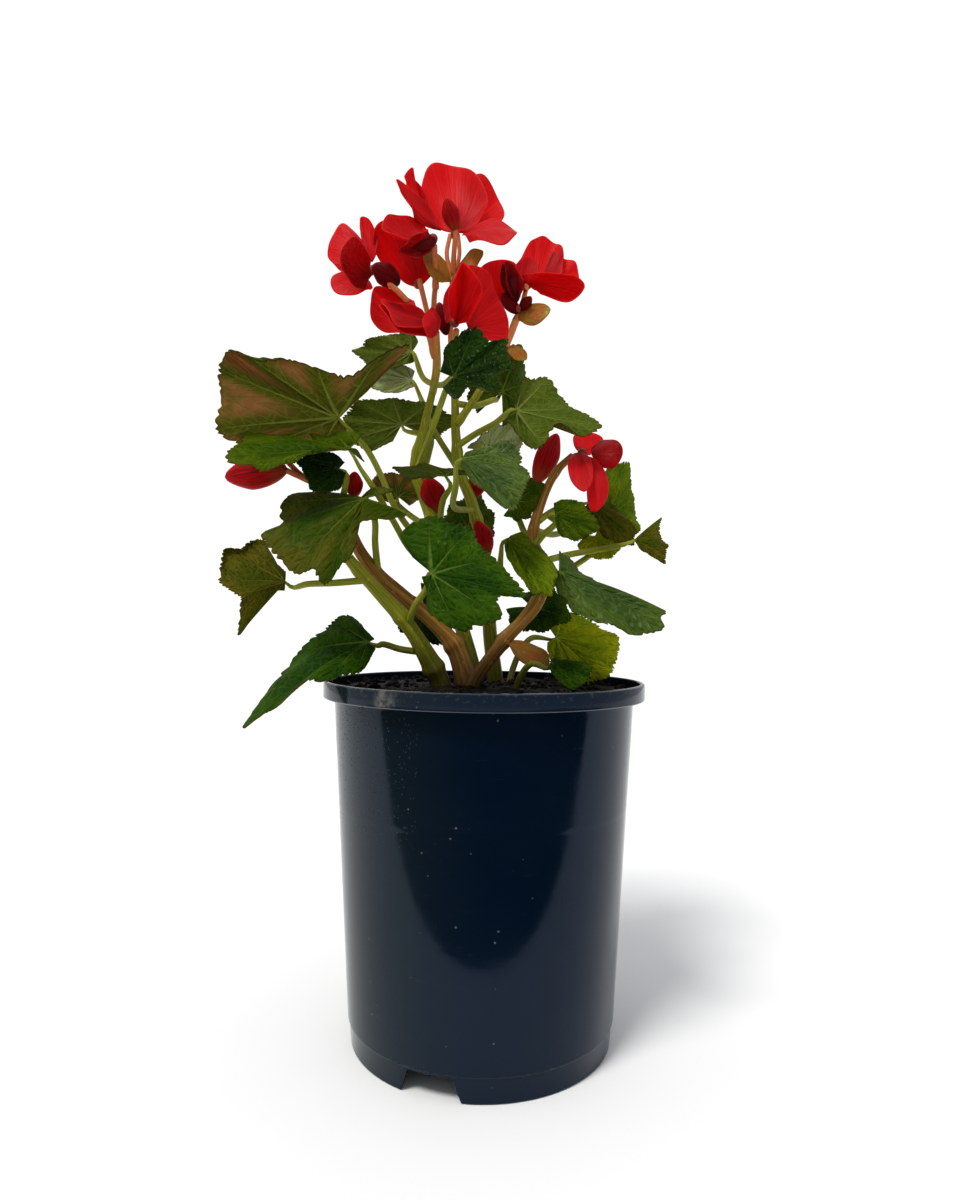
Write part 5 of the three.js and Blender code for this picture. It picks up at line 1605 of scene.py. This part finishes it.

# %% [markdown]
# ## The soil
# The pot is filled with a peaty mix that has sunk to a little below the rim. Its top is
# lumpy at two scales, so the grid is displaced by noise, and crumbs lie on it. The body of
# the soil follows the inside of the pot, so it is whole from any side.

# %% Soil material
def soil_material():
    """Dark damp peat with paler fibres."""
    material, tree, shader = new_material("damp_peat")
    broad = between(tree, clouds(tree, own_place(tree), 90.0, 6.0, 0.65), 0.35, 0.7)
    base = blend(tree, broad, colour(0.004, 0.003, 0.002), colour(0.022, 0.014, 0.008))
    matted = drawn_out(tree, own_place(tree), (900.0, 160.0, 400.0), (0.0, 0.0, 0.7))
    fibres = between(tree, clouds(tree, matted, 1.0, 2.0), 0.66, 0.74, 0.0, 0.5)
    fine = clouds(tree, own_place(tree), 700.0, 6.0, 0.7)
    fill_in(tree, shader, {
        "Base Color": blend(tree, fibres, base, colour(0.12, 0.07, 0.03)),
        "Roughness": between(tree, clouds(tree, own_place(tree), 60.0), 0.35, 0.7, 0.5, 0.9),
        "Specular IOR Level": 0.2,
        "Normal": relief(tree, fine, 0.0016, 0.9),
    })
    return material


# %% Soil body and crumbs
# Sizes are in millimetres. A scale and a slice say where the noise is read
SOIL_EDGE = 214.5
SOIL_CROWN = 2.5
SOIL_SINK = 2.5
SOIL_RADIUS = 90.6
SOIL_BRIM = 96.4
LEDGE = 209.9
SOIL_FOOT = 79.6
POT_FLOOR = 16.8
SOIL_SIDES = 120
SOIL_RINGS = 44
WALL_SHARES = (0.33, 0.66, 1.0)
BELOW_LEDGE = 4
LUMP_SCALE, LUMP_HEIGHT, LUMP_SLICE = 0.045, 2.2, 3.1
GRAIN_SCALE, GRAIN_HEIGHT, GRAIN_SLICE = 0.16, 1.4, 7.7
CRUMBS = 430
CRUMB_SEED = 11
CRUMB_SPREAD = 94
CRUMB_SMALL = 1.0
CRUMB_LARGE = 3.8
CRUMB_RISE = 0.2


def soil_height(x, y):
    """How high the soil's top is at a place, in mm from the ground."""
    far = math.hypot(x, y) / SOIL_BRIM
    lump = noise.noise(Vector((x * LUMP_SCALE, y * LUMP_SCALE, LUMP_SLICE))) * LUMP_HEIGHT
    grain = noise.noise(Vector((x * GRAIN_SCALE, y * GRAIN_SCALE, GRAIN_SLICE))) * GRAIN_HEIGHT
    return SOIL_EDGE + SOIL_CROWN * (1 - far ** 2) - SOIL_SINK + (lump + grain) * (1 - far ** 6)


def build_soil():
    """The body of the soil with its lumpy top, and the crumbs that lie on it."""
    peat = soil_material()
    angle = np.linspace(0, 2 * math.pi, SOIL_SIDES + 1)
    profile = [(0.0, POT_FLOOR), (SOIL_FOOT / 2, POT_FLOOR), (SOIL_FOOT, POT_FLOOR)]
    widening, rise = SOIL_RADIUS - SOIL_FOOT, LEDGE - BELOW_LEDGE - POT_FLOOR
    profile += [(SOIL_FOOT + widening * share, POT_FLOOR + rise * share) for share in WALL_SHARES]
    profile += [(SOIL_RADIUS, LEDGE), (SOIL_BRIM, LEDGE)]
    points = np.zeros((SOIL_SIDES + 1, len(profile) + SOIL_RINGS, 3))
    for index, (radius, height) in enumerate(profile):
        points[:, index, 0] = np.cos(angle) * radius
        points[:, index, 1] = np.sin(angle) * radius
        points[:, index, 2] = height
    for index, share in enumerate(np.linspace(1, 0, SOIL_RINGS)):
        radius = SOIL_BRIM * share
        for side, turn_angle in enumerate(angle):
            x, y = math.cos(turn_angle) * radius, math.sin(turn_angle) * radius
            points[side, len(profile) + index] = (x, y, soil_height(x, y))
    points[-1] = points[0]
    parts = [face_outwards(grow_grid("soil", points, [peat]))]
    dice = random.Random(CRUMB_SEED)
    for _ in range(CRUMBS):
        turn_angle, far = dice.uniform(0, 2 * math.pi), math.sqrt(dice.random()) * CRUMB_SPREAD
        x, y = math.cos(turn_angle) * far, math.sin(turn_angle) * far
        size = dice.uniform(CRUMB_SMALL, CRUMB_LARGE) * dice.uniform(0.6, 1)
        place = to_metres((x, y, soil_height(x, y) + size * CRUMB_RISE))
        deselect()
        bpy.ops.mesh.primitive_ico_sphere_add(subdivisions=1, radius=size * MM, location=place)
        crumb = bpy.context.object
        crumb.scale = (dice.uniform(0.7, 1.5), dice.uniform(0.6, 1.1), dice.uniform(0.5, 0.9))
        crumb.rotation_euler = (dice.uniform(-0.6, 0.6), dice.uniform(-0.6, 0.6), dice.uniform(0, 3.1))
        bpy.ops.object.transform_apply(location=True, rotation=True, scale=True)
        crumb.data.materials.append(peat)
        parts.append(crumb)
    return settle(unite("soil_grown", parts), "soil")


build_soil()
print("soil with", CRUMBS, "crumbs")

# %% [markdown]
# ## The pot
# The pot is moulded from thin dark plastic: a tapering wall, a turned band round the rim and
# a stepped foot with arched cut-outs. It is a shape of revolution, so its outline is drawn
# once and spun. The cut-outs and the drain holes are then cut with booleans, and a small
# bevel softens the edges. The plastic is glossy but used: finely scratched, with dried
# water spots, and it has a sheen that is streaked a little by the mould. Its colour also
# holds painted light: a lighter band towards the left is a painted reflection, and a pale
# patch on the rim band and thin light lines along the rim's edges are painted highlights.

# %% Pot material
# Places on the pot, in metres: those that end in LEFT and RIGHT lie across, FRONT lies
# along the view, and the others are heights
SPLASH_LEFT, SPLASH_RIGHT = -0.056, -0.022
SPLASH_LOW, SPLASH_HIGH = 0.125, 0.175
REFLECTION_BAND_LEFT, REFLECTION_BAND_RIGHT = -0.045, 0.028
PAINTED_GLINT_LEFT = -0.036
FRONT = -0.03
BAND_FOOT, BAND_SKIRT, BAND_STEP = 0.2055, 0.2069, 0.2080
BAND_SIDE, RIM_EDGE, RIM_TOP = 0.2085, 0.2167, 0.2180


def pot_material():
    """Dark glossy plastic with scratches, dried spots and dust, a painted reflection band and painted
    highlights.
    """
    material, tree, shader = new_material("pot_plastic")
    place = own_place(tree)
    across, back, height = (axis_of(tree, place, axis) for axis in "XYZ")
    front = between(tree, back, FRONT, 0.0, 1.0, 0.0)
    wide = between(tree, clouds(tree, place, 14.0, 4.0), 0.35, 0.7)
    base = blend(tree, wide, colour(0.0012, 0.0085, 0.0215), colour(0.0030, 0.0105, 0.0235))
    # Painted reflection: the colour turns a lighter grey-green towards the left
    painted_reflection_band = between(tree, across, REFLECTION_BAND_LEFT, REFLECTION_BAND_RIGHT, 0.85, 0.0)
    base = blend(tree, painted_reflection_band, base, colour(0.0105, 0.0175, 0.0215))

    dots = rest_of(tree, between(tree, cells(tree, place, 210.0), 0.10, 0.16))
    dots = times(tree, dots, between(tree, clouds(tree, place, 60.0, 2.0), 0.60, 0.66))
    base = blend(tree, times(tree, dots, 0.6), base, colour(0.16, 0.15, 0.13))

    splash = times(tree, between(tree, across, SPLASH_LEFT - 0.012, SPLASH_LEFT),
                   between(tree, across, SPLASH_RIGHT, SPLASH_RIGHT + 0.01, 1.0, 0.0),
                   between(tree, height, SPLASH_LOW, SPLASH_HIGH), front)
    drops = rest_of(tree, between(tree, cells(tree, place, 430.0), 0.14, 0.24))
    drops = times(tree, drops, between(tree, clouds(tree, place, 110.0, 2.0), 0.44, 0.5), splash)
    base = blend(tree, times(tree, drops, 0.5), base, colour(0.03, 0.032, 0.032))

    # Painted highlight: a pale broken patch on the front of the rim band, left of the middle
    painted_glint = times(tree, between(tree, across, PAINTED_GLINT_LEFT - 0.004, PAINTED_GLINT_LEFT + 0.002),
                  between(tree, across, PAINTED_GLINT_LEFT + 0.006, PAINTED_GLINT_LEFT + 0.014, 1.0, 0.0), front,
                  between(tree, clouds(tree, place, 190.0, 4.0), 0.36, 0.72),
                  between(tree, height, BAND_FOOT, BAND_SIDE))
    base = blend(tree, times(tree, painted_glint, 0.4), base, colour(0.34, 0.31, 0.27))

    level = drawn_out(tree, place, (60.0, 60.0, 1500.0))
    upright = drawn_out(tree, place, (1400.0, 1400.0, 70.0))
    marks = sum_of(tree, "MAXIMUM", between(tree, clouds(tree, level, 1.0), 0.68, 0.76, 0.0, 0.35),
                   between(tree, clouds(tree, upright, 1.0, 2.0), 0.70, 0.78, 0.0, 0.3))
    base = blend(tree, times(tree, marks, 0.25), base, colour(0.10, 0.09, 0.085))

    dust = times(tree, between(tree, height, BAND_SIDE, RIM_TOP, 0.0, 0.25),
                 between(tree, clouds(tree, place, 420.0), 0.56, 0.68))
    base = blend(tree, dust, base, colour(0.14, 0.11, 0.08))
    # Painted highlights: thin light lines along the rim's top edge and the lower edge of the rim band
    painted_step_highlight = times(tree, between(tree, height, BAND_SKIRT, BAND_SKIRT + 0.0005, 0.0, 0.6),
                  between(tree, height, BAND_STEP, BAND_STEP + 0.0004, 1.0, 0.0))
    painted_edge_highlights = sum_of(tree, "MAXIMUM", between(tree, height, RIM_EDGE, RIM_EDGE + 0.0007, 0.0, 0.5), painted_step_highlight)
    base = blend(tree, painted_edge_highlights, base, colour(0.11, 0.125, 0.13))

    rough = between(tree, clouds(tree, place, 30.0, 5.0, 0.6), 0.3, 0.72, 0.09, 0.16)
    for mask, share in ((marks, 0.3), (dots, 0.35), (drops, 0.45)):
        rough = sum_of(tree, "ADD", rough, times(tree, mask, share))
    flow = clouds(tree, drawn_out(tree, place, (8.0, 8.0, 90.0)), 1.0, 4.0)
    bumps = relief(tree, flow, 0.0004, 0.12)
    bumps = relief(tree, drops, 0.0009, 1.0, bumps)
    fill_in(tree, shader, {
        "Base Color": base,
        "Roughness": rough,
        "Normal": relief(tree, marks, 0.0001, 0.4, bumps),
        "Specular IOR Level": 0.36,
        "Specular Tint": colour(0.70, 0.80, 1.0),
    })
    return material


# %% Pot
# Sizes are in millimetres, and the profile is a list of radius and height. Turns and edges
# are in degrees
POT_SIDES = 160
POT_PROFILE = [
    (0, 14), (78.6, 14), (77.6, 0.5), (78.0, 0), (79.6, 0), (80, 0.4), (80.9, 13.2), (81.2, 14.2),
    (82.0, 15.0), (82.2, 18), (84.15, 52), (86.2, 88), (88.1, 121), (89.18, 140), (89.3, 142),
    (89.45, 143), (89.5, 145), (90.6, 164), (92.9, 204), (93.02, 206.2), (93.1, 207.0),
    (93.8, 207.5), (99.4, 207.6), (100, 208.2), (100, 216.2), (99.7, 217.1), (99.0, 217.6),
    (97.6, 217.6), (97.2, 217.0), (97.2, 210.2), (96.6, 209.6), (91, 209.6), (80, 16.4), (0, 16.4),
]
NOTCHES = 3
FIRST_NOTCH = 250
NOTCH_HEIGHT = 13
NOTCH_BOTTOM = 39
NOTCH_TOP = 26
NOTCH_FOOT = -5
NOTCH_INSIDE, NOTCH_OUTSIDE = 66, 90
DRAIN_TURNS = (30, 90)
DRAIN_SIDES = 32
DRAIN_RADIUS = 7
DRAIN_FROM_AXIS = 54
DRAIN_MIDDLE, DRAIN_DEPTH = 15, 10
EDGE_ROUNDING = 0.3
BEVELLED_EDGE, SMOOTH_EDGE = 50, 28


def cut_with(piece, cutter):
    """Cuts one closed object out of another, and removes the cutter."""
    make_active(piece)
    cut = piece.modifiers.new("cut", "BOOLEAN")
    cut.operation = "DIFFERENCE"
    cut.solver = "EXACT"
    cut.object = cutter
    bpy.ops.object.modifier_apply(modifier=cut.name)
    bpy.data.objects.remove(cutter)


def notch_cutter(outward, sideways):
    """A block with leaning sides that cuts one arch out of the foot ring."""
    deselect()
    bpy.ops.mesh.primitive_cube_add(size=1)
    cutter = bpy.context.object
    for vertex in cutter.data.vertices:
        high = vertex.co.z > 0
        half = (NOTCH_TOP if high else NOTCH_BOTTOM) / 2 * (1 if vertex.co.x > 0 else -1)
        spot = outward * (NOTCH_INSIDE if vertex.co.y < 0 else NOTCH_OUTSIDE) + sideways * half
        vertex.co = to_metres((spot.x, spot.y, NOTCH_HEIGHT if high else NOTCH_FOOT))
    return face_outwards(cutter)


def drain_cutter(turn_angle):
    """A cylinder that cuts one hole through the pot's floor."""
    x, y = math.cos(turn_angle) * DRAIN_FROM_AXIS, math.sin(turn_angle) * DRAIN_FROM_AXIS
    middle = to_metres((x, y, DRAIN_MIDDLE))
    deselect()
    bpy.ops.mesh.primitive_cylinder_add(vertices=DRAIN_SIDES, radius=DRAIN_RADIUS * MM,
                                        depth=DRAIN_DEPTH * MM, location=middle)
    return bpy.context.object


def build_pot():
    """The spun pot with its cut-outs and drain holes."""
    points = [tuple(to_metres((radius, 0, height))) for radius, height in POT_PROFILE]
    mesh = bpy.data.meshes.new("pot")
    mesh.from_pydata(points, [(index, index + 1) for index in range(len(points) - 1)], [])
    pot = bpy.data.objects.new("pot_turned", mesh)
    bpy.context.scene.collection.objects.link(pot)
    make_active(pot)
    in_edit_mode(bpy.ops.mesh.spin, steps=POT_SIDES, angle=2 * math.pi,
                 center=POT_AXIS, axis=(0, 0, 1))
    in_edit_mode(bpy.ops.mesh.remove_doubles, threshold=MERGE)
    face_outwards(pot)
    for number in range(NOTCHES):
        turn_angle = math.radians(FIRST_NOTCH + number * 360 / NOTCHES)
        outward = Vector((math.cos(turn_angle), math.sin(turn_angle), 0))
        cut_with(pot, notch_cutter(outward, Vector((-outward.y, outward.x, 0))))
        for further in DRAIN_TURNS:
            cut_with(pot, drain_cutter(turn_angle + math.radians(further)))
    make_active(pot)
    soften = pot.modifiers.new("soften", "BEVEL")
    soften.width = EDGE_ROUNDING * MM
    soften.segments = 2
    soften.limit_method = "ANGLE"
    soften.angle_limit = math.radians(BEVELLED_EDGE)
    bpy.ops.object.modifier_apply(modifier=soften.name)
    pot.data.materials.append(pot_material())
    bpy.ops.object.shade_smooth_by_angle(angle=math.radians(SMOOTH_EDGE))
    return settle(pot, "pot")


pot = build_pot()
print("pot:", len(pot.data.polygons), "faces")

# %% [markdown]
# ## Floor and light
# The photograph was taken in daylight against a plain pale ground. The floor is a wide
# pale disc that runs far behind and fades into a pale dome, and the world gives an even
# light from all round. One soft sun, above and a little to the left of the camera, gives
# the leaves their wet highlights. A dark card lies on the ground in front. The camera
# can't see it, but the pot's face mirrors it, so the pot looks as dark as in the photograph.

# %% Floor, light and card
# The floor and the dome are in metres, the sun's place and the card in millimetres
FLOOR_RADIUS = 12
FLOOR_BELOW = 0.0004
DOME_RADIUS = FLOOR_RADIUS * 1.02
SKY_LIGHT = 0.55
SUN_PLACE, SUN_STRENGTH, SUN_SPREAD = (-500, -700, 1400), 1.75, 16
CARD_START = -212
CARD_END = -2200
CARD_SIDE = 2600
CARD_LIFT = 0.6


def build_floor():
    """The wide pale disc under the pot."""
    deselect()
    bpy.ops.mesh.primitive_circle_add(vertices=96, radius=FLOOR_RADIUS, fill_type="NGON",
                                      location=(POT_AXIS.x, 0, -FLOOR_BELOW))
    floor = bpy.context.object
    floor.name = "floor"
    material, tree, shader = new_material("floor")
    soft = between(tree, clouds(tree, own_place(tree), 3.0), 0.3, 0.7)
    fill_in(tree, shader, {
        "Base Color": blend(tree, soft, colour(0.92, 0.92, 0.915), colour(0.94, 0.94, 0.935)),
        "Roughness": 0.7,
    })
    floor.data.materials.append(material)


def build_sun(name, place, strength, spread, tint):
    """A soft sun that shines from a place, in millimetres, towards the pot."""
    data = bpy.data.lights.new(name, "SUN")
    data.energy = strength
    data.angle = math.radians(spread)
    data.color = tint
    made = bpy.data.objects.new(name, data)
    bpy.context.scene.collection.objects.link(made)
    made.location = Vector(to_metres(place))
    made.rotation_euler = (-Vector(place)).to_track_quat("-Z", "Y").to_euler()


def build_card(name, corners):
    """A flat dark card that is mirrored, but isn't seen and casts no shadow."""
    mesh = bpy.data.meshes.new(name)
    places = [tuple(to_metres(corner)) for corner in corners]
    mesh.from_pydata(places, [], [tuple(range(len(corners)))])
    card = bpy.data.objects.new(name, mesh)
    bpy.context.scene.collection.objects.link(card)
    material, tree, shader = new_material(name)
    fill_in(tree, shader, {"Base Color": colour(0.006, 0.006, 0.006), "Roughness": 1.0})
    mesh.materials.append(material)
    card.visible_camera = False
    card.visible_shadow = False
    card.visible_diffuse = False


def build_sky():
    """A pale dome that only the camera sees, so the ground fades into it."""
    deselect()
    bpy.ops.mesh.primitive_uv_sphere_add(segments=48, ring_count=24, radius=DOME_RADIUS)
    dome = bpy.context.object
    dome.name = "sky"
    material, tree, shader = new_material("sky")
    fill_in(tree, shader, {
        "Base Color": colour(0, 0, 0),
        "Specular IOR Level": 0.0,
        "Emission Color": colour(0.88, 0.88, 0.88),
        "Emission Strength": 1.0,
    })
    dome.data.materials.append(material)
    dome.visible_diffuse = False
    dome.visible_glossy = False
    dome.visible_transmission = False
    dome.visible_shadow = False


build_floor()
build_sky()
bpy.context.scene.view_settings.view_transform = "Standard"
bpy.context.scene.view_settings.look = "Medium High Contrast"
world = bpy.data.worlds.new("studio")
bpy.context.scene.world = world
world.use_nodes = True
background = world.node_tree.nodes["Background"]
fill_in(world.node_tree, background, {"Color": colour(0.95, 0.97, 1.0), "Strength": SKY_LIGHT})
build_sun("key", SUN_PLACE, SUN_STRENGTH, SUN_SPREAD, (1.0, 0.985, 0.95))
# The dark card is a painted reflection: it stands in for the shade on the ground in front, which the
# pot's face mirrors
build_card("painted_shade_card", [(-CARD_SIDE, CARD_START, CARD_LIFT), (CARD_SIDE, CARD_START, CARD_LIFT),
                           (CARD_SIDE, CARD_END, CARD_LIFT), (-CARD_SIDE, CARD_END, CARD_LIFT)])
print("sun, card and floor are in place")
